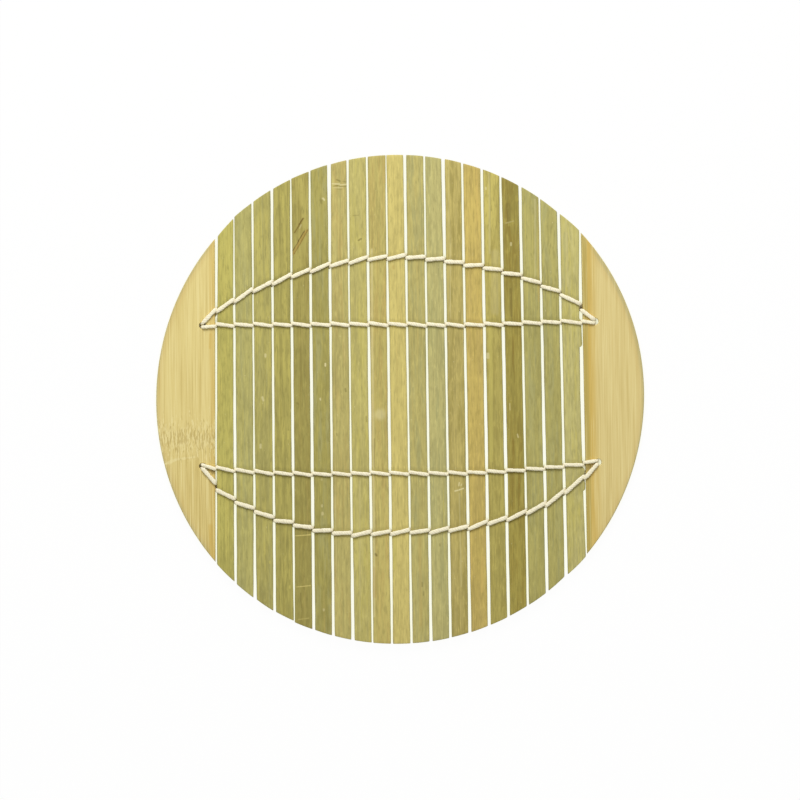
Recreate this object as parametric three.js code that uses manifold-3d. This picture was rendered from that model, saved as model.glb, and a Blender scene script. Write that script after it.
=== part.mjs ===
// Round bamboo steamer mat: slats and two end boards, laced together with twined cotton string.
// Millimetres, +Z up. The slats run along Y and lie side by side along X, skin side up.
// The mat lies on Z = 0, on the knots under its end boards.

import * as THREE from "three";
import { mergeVertices } from "three/addons/utils/BufferGeometryUtils.js";
import Module from "manifold-3d";

// Round outline that every slat and board is cut to.
const MAT_DIAMETER = 203;
const RIM_SEGMENTS = 144;

// Slats of split bamboo. Their count follows from the width that the two boards leave.
const SLAT_WIDTH = 7;
const SLAT_THICKNESS = 2;
const SLAT_CROWN = 0.15;
const SLAT_EDGE_RADIUS = 0.3;
const SLAT_GAP = 1;

// Hand-made unevenness: the widths differ a little, and the slats fan out towards -Y.
const SLAT_WIDTH_SPREAD = 0.12;
const SLAT_LEAN_SPREAD = THREE.MathUtils.degToRad(0.08);
const FAN_LEAN = THREE.MathUtils.degToRad(0.5);

// End boards: circle segments with a straight, softened inner edge.
const BOARD_LEAST_WIDTH = 24.5;
const BOARD_THICKNESS = 2.4;
const BOARD_EDGE_RADIUS = 0.4;

// Lacing holes, two in each board, measured in from the board's inner edge.
const HOLE_DIAMETER = 2.8;
const HOLE_SIDES = 20;
const UPPER_HOLE_Y = 31.25;
const UPPER_HOLE_INSET = 4.9;
const LOWER_HOLE_Y = -26.4;
const LOWER_HOLE_INSET = 5.5;

// Lacing rows: Y at the middle of the mat and at its first and last gap. A row bends away from its middle
// with this power of the distance, so 2 is a parabola and more keeps the middle flatter.
const UPPER_BOW_MIDDLE_Y = 59;
const UPPER_BOW_LEFT_Y = 37.4;
const UPPER_BOW_RIGHT_Y = 37.8;
const UPPER_BOW_POWER = 2.05;
const UPPER_STRAIGHT_MIDDLE_Y = 30.9;
const UPPER_STRAIGHT_LEFT_Y = 31.7;
const UPPER_STRAIGHT_RIGHT_Y = 31.3;
const UPPER_STRAIGHT_POWER = 2;
const LOWER_STRAIGHT_MIDDLE_Y = -30.8;
const LOWER_STRAIGHT_LEFT_Y = -27.9;
const LOWER_STRAIGHT_RIGHT_Y = -27.6;
const LOWER_STRAIGHT_POWER = 3;
const LOWER_BOW_MIDDLE_Y = -55.3;
const LOWER_BOW_LEFT_Y = -36.2;
const LOWER_BOW_RIGHT_Y = -33.6;
const LOWER_BOW_POWER = 2.75;

// Cotton strand: flattened on a face, squeezed in a gap, and rounder in a hole.
const STRAND_WIDTH = 1.5;
const STRAND_HEIGHT = 1.1;
const STRAND_GAP_WIDTH = 0.85;
const STRAND_SIDES = 6;
const STRAND_CLEARANCE = 0.12;
const STRAND_END_GAP = 0.3;
const BOW_TWIST = 0.9;
const STRAIGHT_TWIST = 0.6;
const HOLE_FILL = 0.62;
const HOLE_CLEARANCE = 0.2;

// Angles at which a strand is laid round an edge, from pointing out of the wood to lying on it.
const WRAP_ANGLES = [150, 100].map(THREE.MathUtils.degToRad);

// Knots under the boards: two pulled-down turns, flat below, a little lower than the lacing.
const KNOT_RADIUS = 1.5;
const KNOT_GROOVE = 0.15;
const KNOT_DROP = 0.2;
const KNOT_SIDES = 14;

const BAMBOO_SKIN = { color: 0xa9a354, roughness: 0.5, metalness: 0 };
const BAMBOO_INNER = { color: 0xdcc98a, roughness: 0.6, metalness: 0 };
const COTTON = { color: 0xf1e9d3, roughness: 0.95, metalness: 0 };

// Sizes that follow from the ones above.
const RIM_RADIUS = MAT_DIAMETER / 2;
const PITCH = SLAT_WIDTH + SLAT_GAP;
const SLAT_COUNT = oddCount((MAT_DIAMETER - 2 * BOARD_LEAST_WIDTH - SLAT_GAP) / PITCH);
const GAP_COUNT = SLAT_COUNT + 1;
const LAST_GAP_X = (GAP_COUNT / 2 - 0.5) * PITCH;
const BOARD_INNER_X = LAST_GAP_X + SLAT_GAP / 2;
const BLANK_LENGTH = MAT_DIAMETER + PITCH;
const KNOT_HEIGHT = STRAND_HEIGHT + KNOT_DROP;
const MIDDLE_Z = KNOT_HEIGHT + STRAND_CLEARANCE + BOARD_THICKNESS / 2;

const UP = new THREE.Vector3(0, 0, 1);
const GOLDEN_ANGLE = Math.PI * (3 - Math.sqrt(5));
const EDGE_CURVE_STEPS = 3;
const MERGE_DISTANCE = 1e-5;

const HOLES = {
  upper: { y: UPPER_HOLE_Y, inset: UPPER_HOLE_INSET },
  lower: { y: LOWER_HOLE_Y, inset: LOWER_HOLE_INSET },
};

// twist is how far a diving strand lies to the +Y side of its gap's crossing, and a rising one to the
// -Y side. holeSide says on which side of the hole, along Y, the row's strands lie.
const ROWS = [
  {
    name: "upper_bow",
    hole: "upper",
    middleY: UPPER_BOW_MIDDLE_Y,
    leftY: UPPER_BOW_LEFT_Y,
    rightY: UPPER_BOW_RIGHT_Y,
    power: UPPER_BOW_POWER,
    twist: BOW_TWIST,
    holeSide: 1,
  },
  {
    name: "upper_straight",
    hole: "upper",
    middleY: UPPER_STRAIGHT_MIDDLE_Y,
    leftY: UPPER_STRAIGHT_LEFT_Y,
    rightY: UPPER_STRAIGHT_RIGHT_Y,
    power: UPPER_STRAIGHT_POWER,
    twist: -STRAIGHT_TWIST,
    holeSide: -1,
  },
  {
    name: "lower_straight",
    hole: "lower",
    middleY: LOWER_STRAIGHT_MIDDLE_Y,
    leftY: LOWER_STRAIGHT_LEFT_Y,
    rightY: LOWER_STRAIGHT_RIGHT_Y,
    power: LOWER_STRAIGHT_POWER,
    twist: -STRAIGHT_TWIST,
    holeSide: 1,
  },
  {
    name: "lower_bow",
    hole: "lower",
    middleY: LOWER_BOW_MIDDLE_Y,
    leftY: LOWER_BOW_LEFT_Y,
    rightY: LOWER_BOW_RIGHT_Y,
    power: LOWER_BOW_POWER,
    twist: BOW_TWIST,
    holeSide: -1,
  },
];

const wasm = await Module();
wasm.setup();

// Largest odd whole number that fits, so that one slat lies on the middle line.
function oddCount(room) {
  return 2 * Math.floor((room - 1) / 2) + 1;
}

function toSolid(geometry) {
  const bare = geometry.clone();
  bare.deleteAttribute("normal");
  bare.deleteAttribute("uv");
  const merged = mergeVertices(bare, MERGE_DISTANCE);
  const vertProperties = new Float32Array(merged.attributes.position.array);
  const triVerts = new Uint32Array(merged.index.array);
  return new wasm.Manifold(new wasm.Mesh({ numProp: 3, vertProperties, triVerts }));
}

function toGeometry(solid) {
  const { vertProperties, triVerts } = solid.getMesh();
  const geometry = new THREE.BufferGeometry();
  geometry.setAttribute("position", new THREE.BufferAttribute(vertProperties, 3));
  geometry.setIndex(new THREE.BufferAttribute(triVerts, 1));
  geometry.computeVertexNormals();
  return geometry;
}

function namedMesh(name, geometry, finish) {
  const mesh = new THREE.Mesh(geometry, new THREE.MeshStandardMaterial(finish));
  mesh.name = name;
  return mesh;
}

// The wooden pieces in order along X: left board, slats, right board.
// Each gives its two edge lines as X at a given Y, and the heights of its two faces.
function woodenPiece(index) {
  const isBoard = index === 0 || index === GAP_COUNT;
  const side = Math.sign(index - GAP_COUNT / 2);
  const centreX = isBoard ? side * BOARD_INNER_X : (index - GAP_COUNT / 2) * PITCH;
  const unevenness = isBoard ? 0 : Math.cos(index * GOLDEN_ANGLE);
  const width = SLAT_WIDTH + SLAT_WIDTH_SPREAD * (isBoard ? 0 : Math.sin(index * GOLDEN_ANGLE));
  const lean = FAN_LEAN * (centreX / LAST_GAP_X) + SLAT_LEAN_SPREAD * unevenness;
  const thickness = isBoard ? BOARD_THICKNESS : SLAT_THICKNESS;
  const halfSpan = isBoard ? 0 : width / 2 / Math.cos(lean);
  const lineX = (y) => centreX - y * Math.tan(lean);
  return {
    isBoard,
    side,
    centreX,
    width,
    lean,
    edgeRadius: isBoard ? BOARD_EDGE_RADIUS : SLAT_EDGE_RADIUS,
    leftX: (y) => lineX(y) - halfSpan,
    rightX: (y) => lineX(y) + halfSpan,
    faceZ: (face) => MIDDLE_Z + (face * thickness) / 2,
  };
}

const PIECES = Array.from({ length: GAP_COUNT + 1 }, (_, index) => woodenPiece(index));

// Gap number 1 lies between the left board and the first slat.
function gapAt(number, y) {
  const left = PIECES[number - 1].rightX(y);
  const right = PIECES[number].leftX(y);
  return { x: (left + right) / 2, width: right - left };
}

// Section of a slat: flat below, softly crowned skin above, four rounded edges.
function slatSection(width) {
  const half = width / 2;
  const top = SLAT_THICKNESS / 2;
  const shoulder = top - SLAT_CROWN;
  const r = SLAT_EDGE_RADIUS;
  const section = new THREE.Shape();
  section.moveTo(-half + r, -top);
  section.lineTo(half - r, -top);
  section.absarc(half - r, -top + r, r, -Math.PI / 2, 0);
  section.lineTo(half, shoulder - r);
  section.absarc(half - r, shoulder - r, r, 0, Math.PI / 2);
  section.quadraticCurveTo(0, top + SLAT_CROWN, -half + r, shoulder);
  section.absarc(-half + r, shoulder - r, r, Math.PI / 2, Math.PI);
  section.lineTo(-half, -top + r);
  section.absarc(-half + r, -top + r, r, Math.PI, 1.5 * Math.PI);
  return section;
}

// Section of a board's blank: rounded at the inner edge, square where the rim is cut.
function boardSection() {
  const top = BOARD_THICKNESS / 2;
  const outer = 2 * RIM_RADIUS - BOARD_INNER_X;
  const r = BOARD_EDGE_RADIUS;
  const section = new THREE.Shape();
  section.moveTo(r, -top);
  section.lineTo(outer, -top);
  section.lineTo(outer, top);
  section.lineTo(r, top);
  section.absarc(r, top - r, r, Math.PI / 2, Math.PI);
  section.absarc(r, -top + r, r, Math.PI, 1.5 * Math.PI);
  return section;
}

// Blank of a wooden piece: its section drawn out along Y.
function blank(section) {
  const settings = { depth: BLANK_LENGTH, bevelEnabled: false, curveSegments: EDGE_CURVE_STEPS };
  const geometry = new THREE.ExtrudeGeometry(section, settings);
  geometry.rotateX(Math.PI / 2);
  geometry.translate(0, BLANK_LENGTH / 2, 0);
  return geometry;
}

// Upright cylinder about a point, in the mat's frame, that cuts a rim or drills a hole.
function uprightCylinder(radius, x, y, sides) {
  const geometry = new THREE.CylinderGeometry(radius, radius, 4 * BOARD_THICKNESS, sides);
  geometry.rotateX(Math.PI / 2);
  geometry.translate(x, y, MIDDLE_Z);
  return geometry;
}

// A tool given in the mat's frame, seen from the frame of a placed mesh.
function localTool(geometry, mesh) {
  mesh.updateMatrix();
  return toSolid(geometry.applyMatrix4(mesh.matrix.clone().invert()));
}

function cutRim(solid, mesh) {
  return solid.intersect(localTool(uprightCylinder(RIM_RADIUS, 0, 0, RIM_SEGMENTS), mesh));
}

function makeSlat(piece, index) {
  const mesh = namedMesh(`slat_${String(index).padStart(2, "0")}`, undefined, BAMBOO_SKIN);
  mesh.position.set(piece.centreX, 0, MIDDLE_Z);
  mesh.rotation.z = piece.lean;
  mesh.geometry = toGeometry(cutRim(toSolid(blank(slatSection(piece.width))), mesh));
  return mesh;
}

function holeCentre(holeName, side) {
  const { y, inset } = HOLES[holeName];
  return new THREE.Vector2(side * (BOARD_INNER_X + inset), y);
}

function makeBoard(piece) {
  const mesh = namedMesh(piece.side < 0 ? "left_end_board" : "right_end_board", undefined, BAMBOO_INNER);
  mesh.position.set(piece.centreX, 0, MIDDLE_Z);
  mesh.rotation.z = piece.lean + (piece.side < 0 ? Math.PI : 0);
  let solid = cutRim(toSolid(blank(boardSection())), mesh);
  for (const holeName of Object.keys(HOLES)) {
    const centre = holeCentre(holeName, piece.side);
    const drill = uprightCylinder(HOLE_DIAMETER / 2, centre.x, centre.y, HOLE_SIDES);
    solid = solid.subtract(localTool(drill, mesh));
  }
  mesh.geometry = toGeometry(solid);
  return mesh;
}

function knotCentre(holeName, side) {
  const centre = holeCentre(holeName, side);
  return new THREE.Vector2(centre.x - side * KNOT_RADIUS, centre.y);
}

// Two turns of string pulled down on each other, turned about the knot's upright axis.
function makeKnot(holeName, side) {
  const turn = KNOT_HEIGHT / 4;
  const profile = [
    new THREE.Vector2(0, 0),
    new THREE.Vector2(KNOT_RADIUS - turn, 0),
    new THREE.Vector2(KNOT_RADIUS, turn),
    new THREE.Vector2(KNOT_RADIUS - KNOT_GROOVE, 2 * turn),
    new THREE.Vector2(KNOT_RADIUS, 3 * turn),
    new THREE.Vector2(KNOT_RADIUS - turn, 4 * turn),
    new THREE.Vector2(0, 4 * turn),
  ];
  const geometry = new THREE.LatheGeometry(profile, KNOT_SIDES);
  geometry.rotateX(Math.PI / 2);
  const mesh = namedMesh(`${holeName}_${side < 0 ? "left" : "right"}_knot`, geometry, COTTON);
  const centre = knotCentre(holeName, side);
  mesh.position.set(centre.x, centre.y, 0);
  return mesh;
}

// One ring of a strand: its middle, the direction across it, the direction away from what it lies on,
// and its width and height along those two.
function ring(point, across, away, width, height) {
  return { point, across, away, width, height };
}

// Ring of a strand laid round an edge. inward points from the edge into the wood, face is 1 above and
// -1 below, and free is the room from the edge's rounding to the strand's middle out in the open.
function wrapRing({ edge, inward, face, angle, free, across, openSize, faceWidth }) {
  const laid = (Math.PI - angle) / (Math.PI / 2);
  const lying = STRAND_CLEARANCE + STRAND_HEIGHT / 2;
  const outward = inward.clone().multiplyScalar(Math.cos(angle)).addScaledVector(UP, face * Math.sin(angle));
  const reach = edge.radius + THREE.MathUtils.lerp(free, lying, laid);
  const point = edge.centre.clone().addScaledVector(outward, reach);
  const width = THREE.MathUtils.lerp(openSize.width, faceWidth, laid);
  const height = THREE.MathUtils.lerp(openSize.height, STRAND_HEIGHT, laid);
  return ring(point, across, outward.multiplyScalar(face), width, height);
}

// Edge of a wooden piece at a height Y, with the middle of its rounding.
function edgeOf(piece, side, face, y) {
  const x = side < 0 ? piece.leftX(y) + piece.edgeRadius : piece.rightX(y) - piece.edgeRadius;
  const z = piece.faceZ(face) - face * piece.edgeRadius;
  return { centre: new THREE.Vector3(x, y, z), radius: piece.edgeRadius };
}

function rowY(row, x) {
  const endY = x < 0 ? row.leftY : row.rightY;
  return row.middleY + (endY - row.middleY) * Math.abs(x / LAST_GAP_X) ** row.power;
}

function faceOf(strand, index) {
  return (index + strand) % 2 === 0 ? 1 : -1;
}

// Where a strand passes through a gap, beside the other strand of its row.
function crossing(row, strand, number) {
  const nominalX = (number - 0.5 - GAP_COUNT / 2) * PITCH;
  const dives = faceOf(strand, number - 1) > 0;
  const y = rowY(row, nominalX) + row.twist * (dives ? 1 : -1);
  const gap = gapAt(number, y);
  return { x: gap.x, y, gapWidth: gap.width };
}

// Rings round one edge of a wooden piece, from out in the gap to lying on the face.
// aim is where the strand heads on the face, so that it lies in a straight line in plan.
function edgeRings(piece, side, face, start, aim) {
  const slope = (aim.y - start.y) / (aim.x - start.x);
  const lean = piece.lean;
  const across = new THREE.Vector3(-Math.sin(lean), Math.cos(lean), 0);
  return WRAP_ANGLES.map((angle) => {
    const laidRing = wrapRing({
      edge: edgeOf(piece, side, face, start.y),
      inward: new THREE.Vector3(-side, 0, 0),
      face,
      angle,
      free: start.gapWidth / 2,
      across,
      openSize: { width: STRAND_GAP_WIDTH, height: start.gapWidth - 2 * STRAND_CLEARANCE },
      faceWidth: STRAND_WIDTH * Math.min(Math.hypot(1, slope), PITCH / SLAT_WIDTH),
    });
    laidRing.point.y += slope * (laidRing.point.x - start.x);
    return laidRing;
  });
}

// Size of a strand in a hole that two strands share, and their place against the hole's inner side.
function holeSeat() {
  const radius = HOLE_DIAMETER / 2;
  const size = HOLE_FILL * radius;
  const spread = size / 2 + STRAND_CLEARANCE;
  const inset = Math.sqrt(Math.max(0, (radius - size / 2 - HOLE_CLEARANCE) ** 2 - spread ** 2));
  return { radius, size, spread, inset };
}

// Distance along a direction from a point inside a circle about the origin to the circle.
function distanceToCircle(inside, direction, radius) {
  const along = inside.dot(direction);
  return Math.sqrt(along ** 2 + radius ** 2 - inside.lengthSq()) - along;
}

// End of the upper strand: across the board, over the hole's rim and down the hole to the knot.
function rimRings(row, board, start) {
  const seat = holeSeat();
  const offset = new THREE.Vector2(-board.side * seat.inset, row.holeSide * seat.spread);
  const centre = holeCentre(row.hole, board.side);
  const bottom = new THREE.Vector2().addVectors(centre, offset);
  const back = new THREE.Vector2(start.x, start.y).sub(bottom).normalize();
  const toRim = distanceToCircle(offset, back, seat.radius);
  const inward = new THREE.Vector3(back.x, back.y, 0);
  const across = new THREE.Vector3().crossVectors(UP, inward).multiplyScalar(-board.side);
  const topZ = board.faceZ(1);
  const rim = new THREE.Vector3(bottom.x, bottom.y, topZ).addScaledVector(inward, toRim);
  const openSize = { width: seat.size, height: seat.size };
  const laid = WRAP_ANGLES.map((angle) =>
    wrapRing({
      edge: { centre: rim, radius: 0 },
      inward,
      face: 1,
      angle,
      free: toRim,
      across,
      openSize,
      faceWidth: seat.size,
    }),
  );
  const tipZ = KNOT_HEIGHT + STRAND_END_GAP;
  const tip = ring(
    new THREE.Vector3(bottom.x, bottom.y, tipZ),
    across,
    inward.clone().negate(),
    seat.size,
    seat.size,
  );
  return { aim: bottom, across, rings: [...laid.reverse(), tip] };
}

// End of the lower strand: under the board, up to the side of the knot.
function knotRings(row, board, start) {
  const knot = knotCentre(row.hole, board.side);
  const { size, spread } = holeSeat();
  const offset = new THREE.Vector2(0, row.holeSide * spread);
  const aim = new THREE.Vector2().addVectors(knot, offset);
  const back = new THREE.Vector2(start.x, start.y).sub(aim).normalize();
  const inward = new THREE.Vector3(back.x, back.y, 0);
  const across = new THREE.Vector3().crossVectors(UP, inward).multiplyScalar(-board.side);
  const z = board.faceZ(-1) - STRAND_CLEARANCE - STRAND_HEIGHT / 2;
  const toTip = distanceToCircle(offset, back, KNOT_RADIUS + STRAND_END_GAP);
  const tip = new THREE.Vector3(aim.x, aim.y, z).addScaledVector(inward, toTip);
  return { aim, across, rings: [ring(tip, across, UP.clone(), size, STRAND_HEIGHT)] };
}

// Rings of a strand's end on a board, from the gap to the knot.
function endRings(row, strand, board, number) {
  const face = faceOf(strand, board.side < 0 ? 0 : GAP_COUNT);
  const start = crossing(row, strand, number);
  const end = face > 0 ? rimRings(row, board, start) : knotRings(row, board, start);
  const first = edgeRings(board, -board.side, face, start, end.aim);
  const lying = first.at(-1).point;
  const middle = lying.clone().lerp(end.rings[0].point, 0.5);
  middle.z = board.faceZ(face) + face * (STRAND_CLEARANCE + STRAND_HEIGHT / 2);
  const middleRing = ring(middle, end.across, UP.clone(), STRAND_WIDTH, STRAND_HEIGHT);
  return [...first, middleRing, ...end.rings];
}

// Rings of one stitch over or under a slat.
function stitchRings(row, strand, index) {
  const face = faceOf(strand, index);
  const start = crossing(row, strand, index);
  const end = crossing(row, strand, index + 1);
  const down = edgeRings(PIECES[index], 1, face, end, start);
  return [...edgeRings(PIECES[index], -1, face, start, end), ...down.reverse()];
}

// Closed tube through a strand's rings: a polygon with flats above and below, and a cap at each end.
function tube(rings) {
  const corners = Array.from({ length: STRAND_SIDES }, (_, side) => (2 * Math.PI * side) / STRAND_SIDES);
  const flat = Math.max(...corners.map(Math.sin));
  const positions = [];
  for (const { point, across, away, width, height } of rings) {
    for (const corner of corners) {
      const vertex = point.clone();
      vertex.addScaledVector(across, (width / 2) * Math.cos(corner));
      vertex.addScaledVector(away, ((height / 2) * Math.sin(corner)) / flat);
      positions.push(vertex.x, vertex.y, vertex.z);
    }
  }
  const triangles = [];
  for (let step = 0; step + 1 < rings.length; step += 1) {
    for (let side = 0; side < STRAND_SIDES; side += 1) {
      const a = step * STRAND_SIDES + side;
      const b = step * STRAND_SIDES + ((side + 1) % STRAND_SIDES);
      triangles.push(a, b, a + STRAND_SIDES, b, b + STRAND_SIDES, a + STRAND_SIDES);
    }
  }
  const last = (rings.length - 1) * STRAND_SIDES;
  for (let side = 1; side + 1 < STRAND_SIDES; side += 1) {
    triangles.push(0, side + 1, side);
    triangles.push(last, last + side, last + side + 1);
  }
  const geometry = new THREE.BufferGeometry();
  geometry.setAttribute("position", new THREE.Float32BufferAttribute(positions, 3));
  geometry.setIndex(triangles);
  geometry.computeVertexNormals();
  return geometry;
}

// One strand of a row, whole from the left knot to the right one, over and under in turn.
function makeStrand(row, strand) {
  const rings = endRings(row, strand, PIECES[0], 1).reverse();
  for (let index = 1; index <= SLAT_COUNT; index += 1) {
    rings.push(...stitchRings(row, strand, index));
  }
  rings.push(...endRings(row, strand, PIECES[GAP_COUNT], GAP_COUNT));
  return namedMesh(`${row.name}_strand_${strand === 0 ? "a" : "b"}`, tube(rings), COTTON);
}

const mat = new THREE.Group();
mat.name = "bamboo_steamer_mat";
PIECES.forEach((piece, index) => mat.add(piece.isBoard ? makeBoard(piece) : makeSlat(piece, index)));
for (const row of ROWS) {
  mat.add(makeStrand(row, 0), makeStrand(row, 1));
}
for (const holeName of Object.keys(HOLES)) {
  mat.add(makeKnot(holeName, -1), makeKnot(holeName, 1));
}

export default mat;
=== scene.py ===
"""Round bamboo steamer mat: split bamboo slats and two end boards, laced with twined cotton string."""

import math
from collections import namedtuple

import bmesh
import bpy
import numpy as np
from bpy.props import FloatProperty, FloatVectorProperty, IntProperty, PointerProperty
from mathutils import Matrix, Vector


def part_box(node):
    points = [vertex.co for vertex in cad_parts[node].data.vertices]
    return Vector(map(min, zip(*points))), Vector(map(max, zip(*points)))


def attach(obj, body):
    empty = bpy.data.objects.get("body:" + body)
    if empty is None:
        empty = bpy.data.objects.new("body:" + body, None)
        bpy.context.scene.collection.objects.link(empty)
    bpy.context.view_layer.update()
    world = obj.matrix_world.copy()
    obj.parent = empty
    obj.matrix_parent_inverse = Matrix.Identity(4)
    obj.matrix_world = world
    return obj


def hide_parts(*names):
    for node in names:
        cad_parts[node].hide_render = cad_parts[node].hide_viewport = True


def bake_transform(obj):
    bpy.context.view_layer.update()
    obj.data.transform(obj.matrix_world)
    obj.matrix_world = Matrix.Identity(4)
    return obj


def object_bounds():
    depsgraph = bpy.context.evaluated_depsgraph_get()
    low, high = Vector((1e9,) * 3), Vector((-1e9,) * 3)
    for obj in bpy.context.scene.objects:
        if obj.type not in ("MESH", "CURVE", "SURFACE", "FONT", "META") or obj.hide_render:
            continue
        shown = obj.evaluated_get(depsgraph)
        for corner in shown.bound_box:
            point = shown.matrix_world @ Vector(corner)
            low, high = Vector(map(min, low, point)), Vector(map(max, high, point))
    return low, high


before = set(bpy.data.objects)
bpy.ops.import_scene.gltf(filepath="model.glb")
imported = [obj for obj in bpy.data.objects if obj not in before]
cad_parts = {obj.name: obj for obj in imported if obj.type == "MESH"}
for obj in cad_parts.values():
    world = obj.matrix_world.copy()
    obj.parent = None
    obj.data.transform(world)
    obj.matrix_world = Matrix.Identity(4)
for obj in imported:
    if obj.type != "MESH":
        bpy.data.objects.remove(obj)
CAD_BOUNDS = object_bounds()

bl_info = {
    "name": "Bamboo Steamer Mat",
    "version": (1, 0, 0),
    "blender": (4, 5, 0),
    "location": "3D View > Sidebar > Steamer Mat",
    "description": "Dresses a round, laced bamboo mat: slats, end boards, string and knots",
    "category": "Add Mesh",
}

MM = 0.001
UP = np.array([0.0, 0.0, 1.0])
GOLDEN_ANGLE = math.pi * (3 - math.sqrt(5))

SLATS = sorted(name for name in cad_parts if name.startswith("slat_"))
BOARDS = ("left_end_board", "right_end_board")
WOOD = [BOARDS[0], *SLATS, BOARDS[1]]
GAP_COUNT = len(WOOD) - 1
RIM_RADIUS = (CAD_BOUNDS[1].x - CAD_BOUNDS[0].x) / 2

# A lacing row, in millimetres: Y at the middle of the mat and at its first and last gap, the power with
# which it bends away from its middle, how far a diving strand lies to the +Y side of its crossing, how far
# the row steps up and down from gap to gap because one strand is the tighter, the width of its string, the
# hole that it ends in, and the side of that hole on which it lies.
Row = namedtuple("Row", "name middle left right power twist step width hole hole_side")
ROWS = (
    Row("upper_bow", 59.0, 37.4, 37.8, 2.05, 0.68, 0.18, 1.75, "upper", 1),
    Row("upper_straight", 30.9, 31.7, 31.3, 2.0, -0.5, 0.09, 1.6, "upper", -1),
    Row("lower_straight", -30.8, -27.9, -27.6, 3.0, -0.5, 0.07, 1.55, "lower", 1),
    Row("lower_bow", -55.3, -36.2, -33.6, 2.75, 0.68, 0.2, 1.8, "lower", -1),
)
STRANDS = [f"{row.name}_strand_{letter}" for row in ROWS for letter in "ab"]

# How far the hand-laid rows stray from those lines: pairs of X and the stray there, in millimetres.
STRAYS = {
    "upper_bow": (
        (-76, 0), (-60, 0.1), (-44, -0.45), (-32, -0.45), (-16, -0.3), (0, -0.1), (8, -0.05),
        (24, -0.7), (32, -0.5), (40, 0.1), (48, 0.5), (64, 0.8), (72, 0.1), (76, 0),
    ),
    "upper_straight": (
        (-76, -0.3), (-56, 0), (-16, 0.2), (0, 0), (16, -0.45), (24, -0.6), (40, -0.55), (56, -0.2),
        (64, 0.15), (76, -0.35),
    ),
    "lower_straight": (
        (-76, 0), (-56, -0.35), (-32, -0.35), (-24, -0.1), (-8, 0.05), (8, -0.2), (24, -0.35), (48, -0.15),
        (56, 0), (76, -0.1),
    ),
    "lower_bow": (
        (-76, 0), (-56, -0.55), (-40, -0.5), (-24, -1.1), (-16, -0.85), (-8, -0.1), (0, 0.2), (24, 0.25),
        (32, 0.65), (40, 0.85), (48, 0.2), (56, -0.2), (64, 0), (76, 0.3),
    ),
}

# The rim is cut by hand, so its radius has waves: how many in a turn, their height in millimetres, and the
# angle of a crest in degrees. The whole rim also lies a little inside the even circle.
RIM_WAVES = ((2, 0.45, 52), (3, 0.27, 12), (4, 0.15, 41))
RIM_DROP = 0.11 * MM

# The slats are laid by hand, so each gap has its own width at its upper end, at its middle and at its
# lower end, in millimetres.
GAPS = (
    (1.2, 0.8, 0.7),
    (0.5, 1.1, 1.0),
    (0.9, 0.7, 1.3),
    (1.2, 0.9, 1.2),
    (0.5, 1.1, 0.5),
    (0.8, 1.2, 1.1),
    (1.5, 0.9, 1.2),
    (1.0, 0.7, 1.4),
    (0.7, 1.1, 0.6),
    (0.4, 1.1, 0.9),
    (1.3, 0.8, 1.0),
    (0.7, 0.9, 1.2),
    (1.5, 0.9, 1.1),
    (0.9, 1.0, 1.2),
    (1.0, 1.2, 1.3),
    (0.9, 1.3, 1.1),
    (1.3, 0.9, 1.0),
    (0.6, 1.2, 1.2),
    (1.2, 1.0, 1.5),
    (0.8, 1.5, 0.5),
)

# The slats lie a little to the left of even spacing, and the more so towards their heads.
ASIDE = -0.45 * MM
ASLANT = -0.0028

# How far the strand that ends on top of a board lies from its row's line in the first and in the last gap,
# and how far the lacing holes lie from their marks, in millimetres.
END_STRAYS = {"upper_bow": (0.0, -1.0), "lower_bow": (1.1, 0.0)}
HOLE_STRAYS = {"upper": 0.0, "lower": -0.7}

# Slivers of the last slat that stand off into its gap: the Y of their two ends, their widths there, and the
# length in which the upper end tapers off, in millimetres. The lower ends all taper off alike.
Sliver = namedtuple("Sliver", "low high low_width high_width taper")
SLIVERS = (
    Sliver(21.4, 30.8, 1.1, 0.7, 2.0),
    Sliver(-31.6, -29.9, 0.9, 0.9, 0.6),
    Sliver(-38.2, -35.2, 0.9, 0.9, 0.7),
)
SLIVER_FOOT = 0.6

# How far a split edge wanders from its line, and the length of the waves along a slat.
SPLIT_WANDER = 0.06 * MM
LONG_WAVE = 50 * MM

# Skin of each slat from left to right: its tone, the tone of its patches and of its streaks, how much of it
# the streaks take, and how much lighter its head and its foot grow, or darker where that is below 0.
Skin = namedtuple("Skin", "tone patch streak share head foot")
SKINS = (
    Skin("leaf_green", "yellow", "grey", 0.2, 0.15, -0.35),
    Skin("sage", "grey", "yellow", 0.3, 0.0, 0.1),
    Skin("moss", "yellow", "grey", 0.25, 0.15, -0.2),
    Skin("olive", "yellow", "dark", 0.4, 0.1, -0.1),
    Skin("deep_olive", "dark", "tan", 0.3, 0.95, -0.1),
    Skin("olive", "grey", "tan", 0.3, 0.1, -0.1),
    Skin("pale_olive", "tan", "pale", 0.35, 0.3, 0.0),
    Skin("straw_green", "yellow", "tan", 0.3, 0.0, -0.1),
    Skin("hay", "tan", "orange", 0.3, 0.0, 0.25),
    Skin("straw", "sunlit", "tan", 0.3, 0.0, -0.1),
    Skin("pale_olive", "grey", "tan", 0.3, 0.1, 0.0),
    Skin("grey_green", "grey", "yellow", 0.25, 0.0, 0.0),
    Skin("tan_olive", "dark", "pale", 0.4, 0.3, -0.15),
    Skin("honey", "tan", "orange", 0.35, 0.3, -0.3),
    Skin("dun", "dark", "yellow", 0.4, 0.9, -0.1),
    Skin("brown_olive", "brown", "yellow", 0.25, -0.2, 0.1),
    Skin("moss", "grey", "yellow", 0.3, 0.15, -0.1),
    Skin("moss", "grey", "dark", 0.3, 0.65, 0.0),
    Skin("grey_green", "yellow", "pale", 0.3, 0.1, -0.3),
)

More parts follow.
